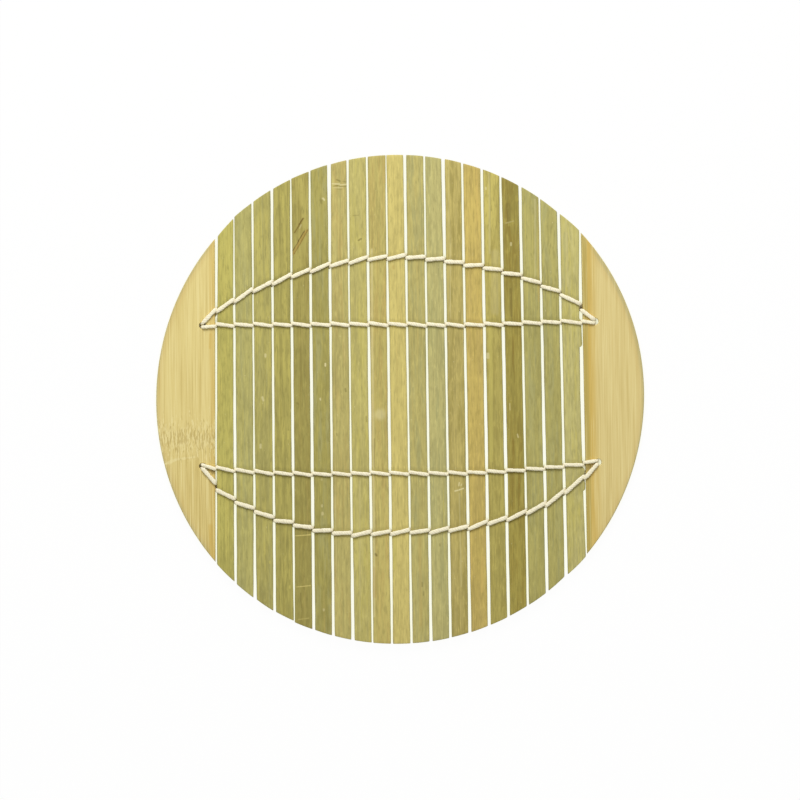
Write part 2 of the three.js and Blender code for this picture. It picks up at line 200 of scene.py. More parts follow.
# A mark on the wood: the number of its piece, from 0 for the left board to 20 for the right one, its
# colour, the two ends of its line on the mat and its width, in millimetres, and how strongly it covers the
# wood.
Mark = namedtuple("Mark", "piece colour start end width strength")
MARKS = (
    Mark(0, "board_light", (-97.4, -26.0), (-93.0, -24.2), 1.1, 0.8),
    Mark(0, "board_light", (-93.0, -24.2), (-85.5, -23.2), 0.9, 0.7),
    Mark(0, "board_orange", (-78.2, 27.5), (-78.4, 22.0), 0.9, 0.6),
    Mark(0, "board_orange", (-78.9, -52.0), (-77.7, -64.0), 2.2, 0.7),
    # Painted shadow of the strand beside the gap, drawn in the scar colour.
    Mark(0, "scar", (-80.2, -28.3), (-77.0, -29.7), 1.9, 0.55),
    Mark(3, "scrape", (-55.0, 18.9), (-55.0, 18.2), 0.9, 0.5),
    Mark(3, "scrape", (-56.4, 1.2), (-56.0, 0.0), 0.9, 0.5),
    Mark(3, "scrape", (-57.5, -18.4), (-57.5, -19.6), 0.9, 0.45),
    Mark(3, "yellow", (-54.0, -66.8), (-54.0, -67.4), 0.9, 0.7),
    Mark(4, "yellow", (-45.8, -13.0), (-46.0, -16.0), 0.8, 0.8),
    Mark(4, "scrape", (-44.6, -4.0), (-44.6, -4.6), 0.7, 0.3),
    Mark(4, "yellow", (-45.9, -77.2), (-45.9, -77.8), 0.8, 0.7),
    Mark(5, "brown", (-38.7, 75.2), (-42.2, 69.6), 0.9, 0.45),
    Mark(5, "scar", (-38.8, 75.2), (-40.4, 72.8), 0.5, 0.7),
    Mark(5, "scar", (-40.1, 73.0), (-42.4, 69.3), 0.35, 0.6),
    Mark(5, "scrape", (-39.6, 72.6), (-40.2, 71.2), 0.5, 0.35),
    Mark(5, "rust", (-37.3, 70.2), (-42.9, 60.9), 1.2, 0.5),
    Mark(5, "scar", (-38.3, 70.0), (-40.9, 65.8), 0.4, 0.75),
    Mark(5, "scar", (-40.5, 66.2), (-43.2, 61.9), 0.35, 0.7),
    Mark(5, "scar", (-36.8, 70.6), (-39.6, 65.6), 0.3, 0.6),
    Mark(5, "scar", (-39.8, 65.2), (-42.6, 60.6), 0.3, 0.55),
    Mark(5, "smudge", (-42.0, -1.2), (-41.8, -1.6), 0.9, 0.4),
    Mark(5, "sunlit", (-43.1, -56.3), (-36.9, -55.9), 0.45, 0.75),
    Mark(5, "sunlit", (-43.0, -77.5), (-37.3, -77.0), 0.4, 0.75),
    Mark(5, "sunlit", (-42.6, -91.0), (-38.2, -90.5), 0.45, 0.35),
    Mark(5, "smudge", (-41.4, -80.0), (-41.2, -86.0), 0.4, 0.35),
    Mark(6, "scrape", (-30.4, 83.4), (-29.9, 82.8), 0.9, 0.7),
    Mark(6, "smudge", (-31.6, 82.8), (-31.2, 81.4), 0.7, 0.25),
    Mark(6, "scrape", (-30.2, 14.9), (-30.2, 14.0), 0.7, 0.8),
    Mark(6, "scrape", (-32.5, 0.5), (-32.4, 0.0), 0.7, 0.6),
    Mark(6, "pale", (-32.2, -32.8), (-32.2, -33.2), 0.8, 0.55),
    Mark(6, "pale", (-32.2, -43.8), (-32.2, -44.2), 0.8, 0.7),
    Mark(6, "pale", (-32.0, -47.0), (-32.0, -47.5), 0.9, 0.8),
    Mark(6, "pale", (-31.9, -86.9), (-31.9, -87.3), 0.9, 0.7),
    Mark(7, "scrape", (-26.4, 89.5), (-23.6, 89.3), 0.6, 0.65),
    Mark(7, "scrape", (-23.0, 89.0), (-20.4, 89.2), 0.6, 0.6),
    Mark(7, "smudge", (-26.2, 88.5), (-24.2, 88.7), 0.5, 0.5),
    Mark(7, "smudge", (-23.4, 88.2), (-20.6, 88.4), 0.4, 0.5),
    Mark(7, "scrape", (-25.8, 87.8), (-22.2, 87.9), 0.45, 0.4),
    Mark(7, "smudge", (-24.6, 87.2), (-22.6, 87.0), 0.4, 0.25),
    Mark(7, "smudge", (-24.6, 91.1), (-23.4, 90.5), 0.7, 0.5),
    Mark(7, "smudge", (-22.2, 90.4), (-21.0, 90.2), 0.5, 0.3),
    Mark(7, "smudge", (-22.0, 4.4), (-21.8, 3.4), 0.8, 0.45),
    Mark(7, "smudge", (-25.9, -14.2), (-25.7, -14.8), 0.7, 0.35),
    Mark(8, "smudge", (-15.9, 65.9), (-14.9, 66.5), 0.7, 0.6),
    Mark(8, "smudge", (-18.0, 76.2), (-15.9, 76.3), 0.5, 0.3),
    Mark(8, "smudge", (-13.4, -7.2), (-13.3, -9.2), 0.8, 0.4),
    Mark(8, "pale", (-16.5, -34.0), (-17.0, -96.0), 0.6, 0.35),
    Mark(9, "scrape", (-8.0, -6.3), (-8.0, -6.5), 4.2, 0.4),
    Mark(9, "smudge", (-10.2, -64.2), (-9.9, -64.8), 0.9, 0.7),
    Mark(9, "rust", (-10.9, -70.0), (-10.7, -82.0), 1.1, 0.4),
    Mark(9, "brown", (-10.2, -16.5), (-10.4, -28.0), 0.6, 0.55),
    Mark(9, "tan", (-4.6, 99.0), (-4.9, 90.0), 1.4, 0.6),
    Mark(9, "scrape", (-10.5, 62.0), (-10.9, -90.0), 0.9, 0.35),
    Mark(10, "rust", (-1.6, 55.0), (-1.5, 54.2), 1.1, 0.25),
    Mark(10, "yellow", (-2.2, -57.0), (-2.4, -70.0), 1.6, 0.5),
    Mark(11, "tan", (8.4, -58.0), (8.2, -94.0), 1.2, 0.45),
    Mark(11, "smudge", (9.6, -80.0), (9.5, -81.5), 0.5, 0.3),
    Mark(11, "smudge", (9.0, -76.2), (9.0, -77.8), 0.6, 0.45),
    Mark(12, "smudge", (16.4, -60.4), (16.4, -61.0), 0.7, 0.4),
    Mark(13, "scrape", (23.1, -38.4), (24.3, -38.1), 0.6, 0.7),
    Mark(13, "scrape", (24.9, -37.9), (26.4, -37.4), 0.6, 0.75),
    Mark(13, "scrape", (24.8, -35.0), (24.6, -36.2), 0.6, 0.6),
    Mark(13, "scrape", (25.8, -35.6), (25.5, -36.2), 0.6, 0.5),
    Mark(13, "pale", (24.8, -39.5), (25.2, -78.0), 0.6, 0.45),
    Mark(14, "orange", (34.2, -66.0), (33.8, -80.0), 1.2, 0.5),
    Mark(15, "scrape", (37.3, 18.2), (37.4, 16.8), 1.2, 0.55),
    Mark(15, "yellow", (38.4, 30.0), (38.2, -26.0), 1.6, 0.5),
    Mark(15, "pale", (38.5, 93.0), (38.4, 60.0), 0.8, 0.45),
    Mark(15, "pale", (40.6, 60.0), (40.6, 36.0), 3.2, 0.35),
    Mark(15, "scrape", (37.1, 87.2), (37.1, 86.6), 0.8, 0.5),
    Mark(16, "brown", (45.8, 90.0), (46.2, 84.5), 0.9, 0.4),
    Mark(16, "smudge", (46.3, 80.0), (46.6, 73.5), 1.5, 0.4),
    Mark(16, "pale", (45.2, 72.4), (48.4, 73.2), 0.5, 0.35),
    Mark(16, "brown", (46.5, 70.5), (47.2, 64.8), 1.3, 0.6),
    Mark(16, "brown", (46.8, 60.0), (46.6, 48.0), 0.9, 0.35),
    Mark(16, "scar", (44.7, -6.0), (44.9, -10.5), 0.5, 0.45),
    Mark(16, "brown", (47.6, -18.0), (47.4, -46.0), 1.2, 0.35),
    Mark(16, "smudge", (46.9, 45.0), (47.1, 34.0), 0.9, 0.45),
    Mark(16, "scrape", (47.3, 64.2), (47.3, 63.2), 0.7, 0.45),
    Mark(16, "scrape", (49.1, -15.2), (49.4, -16.4), 0.6, 0.5),
    Mark(16, "scrape", (46.0, -2.4), (46.1, -5.0), 0.5, 0.35),
    Mark(17, "pale", (57.4, 82.0), (57.1, 48.0), 0.7, 0.5),
    Mark(17, "tan", (58.9, 80.0), (58.6, 40.0), 0.9, 0.5),
    Mark(19, "pale", (70.6, 68.0), (70.4, 46.0), 0.8, 0.45),
    Mark(19, "grey", (69.5, 68.0), (69.3, 44.0), 0.7, 0.45),
    # Painted shadow of the strand beside the gap, drawn in the scar colour.
    Mark(20, "scar", (77.0, -29.7), (79.8, -28.5), 1.9, 0.55),
)


def linear(hex_colour):
    """An sRGB hex colour as linear red, green and blue."""
    channels = [int(hex_colour[at : at + 2], 16) / 255 for at in (1, 3, 5)]
    return [c / 12.92 if c <= 0.04045 else ((c + 0.055) / 1.055) ** 2.4 for c in channels]


def number_property(name, description, value, **settings):
    return FloatProperty(name=name, description=description, default=value, **settings)


def share_property(name, description, value):
    return number_property(name, description, value, subtype="FACTOR", min=0, max=1)


def length_property(name, description, millimetres):
    return number_property(name, description, millimetres * MM, unit="LENGTH", precision=5)


def place_property(name, description, millimetres):
    place = [along * MM for along in millimetres]
    return FloatVectorProperty(name=name, description=description, default=place, subtype="TRANSLATION")


def colour_property(name, description, hex_colour):
    return FloatVectorProperty(
        name=name, description=description, default=linear(hex_colour), subtype="COLOR", min=0, max=1
    )


class WoodSettings(bpy.types.PropertyGroup):
    """Sizes of the bamboo pieces that the solids leave plain."""

    edge_radius: length_property("Slat edge", "Rounding along a slat's long edges", 0.3)
    crown: length_property("Crown", "Rise of the skin at the middle of a slat", 0.15)
    end_radius: length_property("Sanded end", "Rounding where the rim is sanded", 0.22)
    ring_spacing: length_property("Ring spacing", "Distance between rings along a slat", 1.0)
    relief: length_property("Relief", "Depth of the skin's lengthwise waves", 0.025)
    board_edge_radius: length_property("Board edge", "Rounding of a board's edges", 0.4)
    hole_diameter: length_property("Hole diameter", "Diameter of a lacing hole", 2.8)
    hole_edge_radius: length_property("Hole edge", "Rounding where string wears a hole's rim", 0.3)


class StringSettings(bpy.types.PropertyGroup):
    """Sizes of the cotton string."""

    height: length_property("Height", "Height of a strand lying on the wood", 1.08)
    gap_width: length_property("Width in a gap", "Width of a strand squeezed in a gap", 0.95)
    clearance: length_property("Clearance", "Room between the string and the wood", 0.02)
    hole_size: length_property("Size in a hole", "Width of a strand in a lacing hole", 1.28)
    left_seat: length_property("Left seat", "How far strands lie inside the middle of a left hole", -0.15)
    right_seat: length_property("Right seat", "How far strands lie inside the middle of a right hole", 0.3)
    lay: length_property("Lay", "Length in which the plies make one turn", 3.2)
    ply_depth: share_property("Ply depth", "Groove depth as a share of the radius", 0.09)
    ring_spacing: length_property("Ring spacing", "Distance between rings along a strand", 0.2)
    slub: share_property("Slub", "Unevenness of the string's width as a share", 0.1)
    flatness: number_property("Flatness", "Power that flattens the section, 1 for an ellipse", 0.7)
    plies: IntProperty(name="Plies", description="Plies twisted into the string", default=3)
    tail_length: length_property("Tail", "Length of a cut end beside a knot", 5.5)


class BambooColours(bpy.types.PropertyGroup):
    """Tones of the bamboo."""

    leaf_green: colour_property("Leaf green", "Fresh green skin", "#B6AE60")
    sage: colour_property("Sage", "Soft green skin", "#B4AD6A")
    moss: colour_property("Moss", "Mossy green skin", "#ACA462")
    olive: colour_property("Olive", "Olive skin", "#A59C57")
    deep_olive: colour_property("Deep olive", "Dark olive skin", "#A09653")
    pale_olive: colour_property("Pale olive", "Pale olive skin", "#BAAF6C")
    straw_green: colour_property("Straw green", "Skin between straw and green", "#BEB46F")
    hay: colour_property("Hay", "Dull yellow skin", "#BDB069")
    straw: colour_property("Straw", "Straw yellow skin", "#CCBD73")
    grey_green: colour_property("Grey green", "Dull grey green skin", "#BDB577")
    tan_olive: colour_property("Tan olive", "Olive skin gone tan", "#B9AA66")
    honey: colour_property("Honey", "Honey coloured skin", "#C3AE62")
    dun: colour_property("Dun", "Dull brownish yellow skin", "#B1A55C")
    brown_olive: colour_property("Brown olive", "Dark brownish skin", "#A1944A")
    yellow: colour_property("Yellow", "Yellow patches and fibres", "#C5BA66")
    sunlit: colour_property("Bright yellow", "Bright yellow patches", "#D6C77B")
    grey: colour_property("Grey", "Grey green patches and fibres", "#A7A470")
    tan: colour_property("Tan", "Tan patches and fibres", "#BCA763")
    pale: colour_property("Pale", "Pale patches and fibres", "#C9BF88")
    orange: colour_property("Orange", "Orange fibres", "#D2B668")
    dark: colour_property("Dark", "Dark olive patches and fibres", "#978A48")
    brown: colour_property("Brown", "Brown patches and fibres", "#86722E")
    scrape: colour_property("Scrape", "Pale wood where the skin is scraped", "#E4DAA8")
    rust: colour_property("Rust", "Rusty scar in the skin", "#A8823A")
    scar: colour_property("Scar", "Dark brown edge of a scar", "#5E4616")
    smudge: colour_property("Smudge", "Dark smudge on the skin", "#6E6230")
    inner: colour_property("Inner bamboo", "Bamboo below the skin", "#DECB86")
    inner_dark: colour_property("Inner fibres", "Darker fibres below the skin", "#C6AC62")
    left_board: colour_property("Left board", "Planed bamboo of the left board", "#E2D08C")
    right_board: colour_property("Right board", "Planed bamboo of the right board", "#DCC98A")
    board_light: colour_property("Board light", "Light grain of the boards", "#EDDFA4")
    board_grain: colour_property("Board grain", "Dark grain of the boards", "#C9B066")
    board_orange: colour_property("Board orange", "Orange band along a board's inner edge", "#CFB05A")
    board_olive: colour_property("Board olive", "Skin left on the right board's inner edge", "#B3A054")
    board_tan: colour_property("Board tan", "Browned strip along a board's rim", "#CFB676")
    board_dull: colour_property("Board dull", "Dull, rubbed rim of a board", "#B8AD7A")


class StringColours(bpy.types.PropertyGroup):
    """Tones of the cotton."""

    cotton: colour_property("Cotton", "Unbleached cotton", "#FCF6DD")
    blotch: colour_property("Blotch", "Duller places on the cotton", "#E8DDC5")
    # Colour of the painted shade in the grooves between plies; the fuzz uses it too.
    groove: colour_property("Groove", "Cotton in the grooves between plies", "#DFD0A6")


class StageSettings(bpy.types.PropertyGroup):
    """Floor, light and camera."""

    frame_width: length_property("Frame width", "Width that the camera sees at the mat", 331.6)
    lens: number_property("Lens", "Focal length", 190.0, unit="CAMERA")
    roll: number_property("Roll", "Turn of the camera about its view", math.radians(-0.6), subtype="ANGLE")
    centre: place_property("Centre", "Point below the camera", (0.15, -0.46, 0))
    floor_size: length_property("Floor size", "Side of the floor", 6000.0)
    floor_colour: colour_property("Floor", "Pale floor", "#F7F7F5")
    floor_warm: colour_property("Warm floor", "Floor in the light that the bamboo throws on it", "#FFFFDE")
    floor_shade: colour_property("Shaded floor", "Floor in the shade under the mat", "#A79F80")
    floor_white: share_property("Floor white", "Share of plain white in the floor", 0.97)
    sky: number_property("Sky", "Strength of the light from all round", 0.44)
    sky_colour: colour_property("Sky colour", "Warm light from all round", "#FFFDEE")
    lamp_power: number_property("Lamp", "Power of the soft lamp", 10.3, unit="POWER")
    lamp_place: place_property("Lamp place", "Middle of the soft lamp", (-80, 800, 780))
    lamp_size: length_property("Lamp size", "Side of the soft lamp", 600.0)


class MatSettings(bpy.types.PropertyGroup):
    """Everything that can be set on the mat."""

    wood: PointerProperty(type=WoodSettings)
    string: PointerProperty(type=StringSettings)
    bamboo: PointerProperty(type=BambooColours)
    cotton: PointerProperty(type=StringColours)
    stage: PointerProperty(type=StageSettings)


# Shapes shared by the pieces.

# Waves that add up to the unevenness along a piece: their heights, their rates and their shifts, and the
# height that they reach together.
WANDER_WAVES = ((1, 1, 1), (0.6, 2.3, 2), (0.35, 5.1, 3))
WANDER_HEIGHT = 1.6


def side_lines(node):
    """The left and right edge of a wooden piece, each as (X at Y = 0, slope), read off its solid."""
    points = np.array([vertex.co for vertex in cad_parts[node].data.vertices])
    upper = points[points[:, 1] > 0]
    lower = points[points[:, 1] < 0]
    lines = []
    for pick in (np.argmin, np.argmax):
        a = upper[pick(upper[:, 0])]
        b = lower[pick(lower[:, 0])]
        slope = (a[0] - b[0]) / (a[1] - b[1])
        lines.append((a[0] - slope * a[1], slope))
    return lines


LINES = {node: side_lines(node) for node in WOOD}
FACES = {node: (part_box(node)[0].z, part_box(node)[1].z) for node in WOOD}


def solid_edge(node, side, y):
    """X of the left (-1) or right (1) edge of a wooden piece's solid at Y."""
    at_zero, slope = LINES[node][0 if side < 0 else 1]
    return at_zero + slope * y


def board_at(side):
    """The board on the left (-1) or right (1)."""
    return BOARDS[0 if side < 0 else 1]


def inner_edge(side):
    """The straight inner edge of a board, as (X at Y = 0, slope)."""
    return LINES[board_at(side)][1 if side < 0 else 0]


def laid_gap(number, y):
    """Width of a gap at Y."""
    upper, middle, lower = (width * MM for width in GAPS[number - 1])
    x = solid_edge(WOOD[number], -1, 0.0)
    along = y / math.sqrt(RIM_RADIUS**2 - x**2)
    return middle + (upper - lower) / 2 * along + ((upper + lower) / 2 - middle) * along**2


def laid_aside(number, y):
    """How far the middle of a gap lies to the right of even spacing at Y. The boards keep their places."""
    return 0.0 if number in (1, GAP_COUNT) else ASIDE + ASLANT * y


def rim_radius(angle):
    """Radius of the hand-cut rim at an angle."""
    waves = sum(height * np.cos(count * (angle - math.radians(crest))) for count, height, crest in RIM_WAVES)
    return RIM_RADIUS - RIM_DROP + waves * MM


def smooth_step(value, low, high):
    share = np.clip((value - low) / (high - low), 0, 1)
    return share**2 * (3 - 2 * share)


def edge_x(node, side, y):
    """X of a wooden piece's left (-1) or right (1) edge at Y, as it was split and laid."""
    line = solid_edge(node, side, y)
    if node in BOARDS:
        return line
    number = WOOD.index(node) + (1 if side > 0 else 0)
    room = solid_edge(WOOD[number], -1, y) - solid_edge(WOOD[number - 1], 1, y)
    # Beside a board the slat alone makes up the gap's width, since the board keeps its place.
    own_share = 1.0 if number in (1, GAP_COUNT) else 0.5
    strayed = line + laid_aside(number, y) + side * own_share * (room - laid_gap(number, y))
    if number == GAP_COUNT:
        for low, high, low_width, high_width, taper in SLIVERS:
            ends = smooth_step(y / MM, low - SLIVER_FOOT, low) - smooth_step(y / MM, high, high + taper)
            strayed = strayed + np.interp(y / MM, (low, high), (low_width, high_width)) * MM * ends
    return strayed + SPLIT_WANDER * wander(y, number + side / 2, LONG_WAVE)


def wander(along, seed, wavelength):
    """Smooth unevenness between about -1 and 1 along a piece, the same on every run."""
    phase = seed * GOLDEN_ANGLE
    turn = 2 * math.pi * along / wavelength
    waves = (height * np.sin(rate * turn + shift * phase) for height, rate, shift in WANDER_WAVES)
    return sum(waves) / WANDER_HEIGHT


def grid_faces(rows, columns):
    """Quads of a grid of vertices, row after row, with the last column joined to the first."""
    row, column = np.meshgrid(np.arange(rows - 1), np.arange(columns), indexing="ij")
    following = (column + 1) % columns
    corners = [
        row * columns + column,
        row * columns + following,
        (row + 1) * columns + following,
        (row + 1) * columns + column,
    ]
    return np.stack(corners, axis=-1).reshape(-1, 4)


def new_object(name, mesh, materials):
    for material in materials:
        mesh.materials.append(material)
    piece = bpy.data.objects.new(name, mesh)
    bpy.context.scene.collection.objects.link(piece)
    return piece


def face_outwards(mesh):
    """Turns every face of a closed mesh outwards and shades it smooth."""
    shape = bmesh.new()
    shape.from_mesh(mesh)
    bmesh.ops.recalc_face_normals(shape, faces=shape.faces)
    shape.to_mesh(mesh)
    shape.free()
    mesh.shade_smooth()


# Materials.

MATH = "ShaderNodeMath"
VECTOR_MATH = "ShaderNodeVectorMath"
WHITE = (1, 1, 1, 1)

# Painted shade above a stitch, in millimetres: how far up its middle lies and its width, then how
# strongly it covers the skin, and how dark the skin is there.
STRING_SHADE_RISE = 0.9
STRING_SHADE_WIDTH = 2.6
STRING_SHADE_STRENGTH = 0.4
STRING_SHADE_TONE = 0.6

# How far from its line a mark starts to fade and how far it reaches, as shares of its width.
MARK_CORE = 0.7
MARK_EDGE = 1.25

# How strongly a fine relief shows on a surface.
RELIEF_STRENGTH = 0.5

# Y from which a slat's tone changes towards its ends, where the change is full at its head and at its foot,
# and the tone there if it grows lighter or darker.
FADE_START = 10 * MM
HEAD_REACH = 90 * MM
FOOT_REACH = -70 * MM
LIGHTER = 1.4
DARKER = 0.7

# Spacing of the bundles of fibres on a sawn end.
BUNDLE_SPACING = 0.45 * MM

# How uneven the stain along a board's inner edge is, the Y of the joint of the cane, and the length in which
# its dashes thin out.
STAIN_RAGGED = 3 * MM
JOINT_Y = -15.5 * MM
JOINT_REACH = 50 * MM


def add_node(tree, kind, inputs=None, **settings):
    """Adds a node with its settings. inputs gives, for a socket, a value or the output to link to it."""
    node = tree.nodes.new(kind)
    for name, value in settings.items():
        setattr(node, name, value)
    for socket, value in (inputs or {}).items():
        if isinstance(value, bpy.types.NodeSocket):
            tree.links.new(value, node.inputs[socket])
        else:
            node.inputs[socket].default_value = value
    return node


def new_material(name):
    """An empty node material and its output node."""
    material = bpy.data.materials.new(name)
    material.use_nodes = True
    material.node_tree.nodes.clear()
    return material, add_node(material.node_tree, "ShaderNodeOutputMaterial")


def opaque(colour):
    return (*colour, 1.0)


def tinted(colour, factor):
    """A colour made darker or lighter."""
    return (*(min(1.0, channel * factor) for channel in colour), 1.0)


def flat_place(tree, aside=0.0):
    """Place in the mat's plane, in metres from its middle or from a point aside of it."""
    place = add_node(tree, "ShaderNodeTexCoord").outputs["Object"]
    sockets = {0: place, 1: (1, 1, 0), 2: (-aside, 0, 0)}
    return add_node(tree, VECTOR_MATH, sockets, operation="MULTIPLY_ADD").outputs[0]


def grain(tree, place, width, length, seed):
    """Noise drawn out along Y: patches of about this width and length in millimetres."""
    scale = (1 / (width * MM), 1 / (length * MM), 1 / (width * MM))
    seat = GOLDEN_ANGLE * seed
    stretched = add_node(
        tree, "ShaderNodeMapping", {"Vector": place, "Location": (seat, 3 * seat, 7 * seat), "Scale": scale}
    )
    sockets = {"Vector": stretched.outputs["Vector"], "Scale": 1.0, "Detail": 2.5, "Roughness": 0.6}
    return add_node(tree, "ShaderNodeTexNoise", sockets).outputs["Fac"]


def stain(tree, colour, over, pattern, bare, full, most):
    """A colour laid over another: none of it where the pattern is at bare, the most where it is at full."""
    sockets = {"Value": pattern, "From Min": bare, "From Max": full, "To Min": 0.0, "To Max": most}
    share = add_node(tree, "ShaderNodeMapRange", sockets, interpolation_type="SMOOTHSTEP").outputs["Result"]
    return add_node(tree, "ShaderNodeMix", {0: share, 6: colour, 7: over}, data_type="RGBA").outputs[2]


def stains(tree, colour, layers):
    """Several stains laid one over the other, each with its colour, its pattern, bare, full and most."""
    for over, pattern, bare, full, most in layers:
        colour = stain(tree, colour, over, pattern, bare, full, most)
    return colour


def marked(tree, colour, place, ragged, mark, over):
    """A colour with one mark over it, its edge made uneven by a ragged pattern."""
    start = np.array([*mark.start, 0.0]) * MM
    way = np.array([*mark.end, 0.0]) * MM - start
    length = float(np.linalg.norm(way))
    way = way / length
    width = mark.width * MM
    from_start = add_node(tree, VECTOR_MATH, {0: place, 1: start}, operation="SUBTRACT").outputs[0]
    along = add_node(tree, VECTOR_MATH, {0: from_start, 1: way}, operation="DOT_PRODUCT").outputs["Value"]
    held = add_node(tree, "ShaderNodeClamp", {"Value": along, "Min": 0.0, "Max": length}).outputs[0]
    nearest = add_node(tree, VECTOR_MATH, {0: way, "Scale": held}, operation="SCALE").outputs[0]
    off = add_node(tree, VECTOR_MATH, {0: from_start, 1: nearest}, operation="DISTANCE").outputs["Value"]
    uneven = add_node(tree, MATH, {0: ragged, 1: width, 2: off}, operation="MULTIPLY_ADD").outputs[0]
    return stain(tree, colour, over, uneven, MARK_EDGE * width, MARK_CORE * width, mark.strength)


def surface(tree, output, colour, relief, depth, sockets):
    """Shades a colour, with a fine relief of this depth in millimetres."""
    fine = {"Height": relief, "Strength": RELIEF_STRENGTH, "Distance": depth * MM}
    bump = add_node(tree, "ShaderNodeBump", fine)
    sockets = {"Base Color": colour, "Normal": bump.outputs["Normal"], **sockets}
    shader = add_node(tree, "ShaderNodeBsdfPrincipled", sockets)
    tree.links.new(shader.outputs[0], output.inputs["Surface"])


def bamboo_skin(number, skin, colours):
    """Split bamboo with its skin on, scraped and dried: waxy, in dull greens and yellows.

    The wax gives a soft sheen. Fibres show as thin lines along the slat, patches and streaks change its
    tone, and scrapes and scars lie over them. Painted shade darkens the skin along the upper side of its
    stitches. A bundle of fibres is about 0.45 mm wide.
    """
    material, output = new_material(f"bamboo_skin_{skin.tone}_{number:02d}")
    tree = material.node_tree
    place = flat_place(tree, ASIDE)
    tone = getattr(colours, skin.tone)
    fibres = grain(tree, place, 0.45, 24, number)
    mottles = grain(tree, place, 0.8, 4.5, number + 100)
    patches = grain(tree, place, 1.6, 22, number + 20)
    streaks = grain(tree, place, 0.9, 60, number + 40)
    clouds = grain(tree, place, 5, 26, number + 60)
    specks = grain(tree, place, 0.7, 1.5, number + 80)
    across = add_node(tree, "ShaderNodeAttribute", attribute_name="across").outputs["Fac"]
    along = add_node(tree, "ShaderNodeSeparateXYZ", {"Vector": place}).outputs["Y"]
    layers = [
        (tinted(tone, LIGHTER if change > 0 else DARKER), along, FADE_START, reach, abs(change))
        for change, reach in ((skin.head, HEAD_REACH), (skin.foot, FOOT_REACH))
    ]
    layers += [
        (opaque(getattr(colours, skin.patch)), patches, 0.42, 0.66, 0.75),
        (opaque(getattr(colours, skin.streak)), streaks, 0.66 - 0.3 * skin.share, 0.78, 0.8),
        (tinted(tone, 0.76), clouds, 0.52, 0.3, 0.45),
        (tinted(tone, 1.2), clouds, 0.5, 0.7, 0.4),
        (tinted(tone, 0.7), mottles, 0.5, 0.3, 0.6),
        (tinted(tone, 1.24), mottles, 0.52, 0.7, 0.6),
        (tinted(tone, 0.64), fibres, 0.48, 0.28, 0.45),
        (tinted(tone, 1.32), fibres, 0.53, 0.74, 0.4),
        (opaque(colours.scrape), specks, 0.68, 0.8, 0.5),
        # Painted shade along the slat's edges beside the gaps.
        (tinted(colours.grey, 0.75), across, 0.82, 1.0, 0.35),
    ]
    colour = stains(tree, opaque(tone), layers)
    for mark in marks_on(number):
        colour = marked(tree, colour, place, fibres, mark, opaque(getattr(colours, mark.colour)))
    # Painted shade along the upper side of each stitch, in a darker tone of the skin.
    on_mat = flat_place(tree)
    for mark in string_shade_marks(number):
        colour = marked(tree, colour, on_mat, fibres, mark, tinted(tone, STRING_SHADE_TONE))
    wax = {"Roughness": 0.5, "Specular IOR Level": 0.22, "IOR": 1.48}
    surface(tree, output, colour, fibres, 0.03, wax)
    return material


def marks_on(number):
    return [mark for mark in MARKS if mark.piece == number]


def string_shade_marks(number):
    """Marks of painted shade along the upper side of a slat's stitches."""
    marks = []
    for row in ROWS:
        ends = [crossing(row, number % 2, gap) for gap in (number, number + 1)]
        start, end = ((spot.x / MM, spot.y / MM + STRING_SHADE_RISE) for spot in ends)
        # Each mark is painted shade in a darker tone of the skin; its colour label is not looked up.
        marks.append(Mark(number, "rubbed", start, end, STRING_SHADE_WIDTH, STRING_SHADE_STRENGTH))
    return marks


def inner_bamboo(colours):
    """Split bamboo below the skin: pale, dry and fibrous, with long darker bundles and little sheen."""
    material, output = new_material("bamboo_split_inner")
    tree = material.node_tree
    place = add_node(tree, "ShaderNodeTexCoord").outputs["Object"]
    fibres = grain(tree, place, 0.5, 18, 1)
    bundles = grain(tree, place, 1.2, 60, 2)
    layers = (
        (opaque(colours.inner_dark), fibres, 0.3, 0.7, 1.0),
        (tinted(colours.inner_dark, 0.8), bundles, 0.5, 0.8, 0.6),
    )
    colour = stains(tree, opaque(colours.inner), layers)
    surface(tree, output, colour, fibres, 0.05, {"Roughness": 0.68, "Specular IOR Level": 0.3})
    return material


def end_grain(colours):
    """Sawn and sanded bamboo end: pale ground packed with small dark fibre bundles, matt."""
    material, output = new_material("bamboo_sawn_end")
    tree = material.node_tree
    place = add_node(tree, "ShaderNodeTexCoord").outputs["Object"]
    sockets = {"Vector": place, "Scale": 1 / BUNDLE_SPACING}
    bundles = add_node(tree, "ShaderNodeTexVoronoi", sockets).outputs["Distance"]
    colour = stain(tree, opaque(colours.inner), tinted(colours.inner_dark, 0.62), bundles, 0.42, 0.2, 1.0)
    surface(tree, output, colour, bundles, 0.03, {"Roughness": 0.8, "Specular IOR Level": 0.2})
    return material


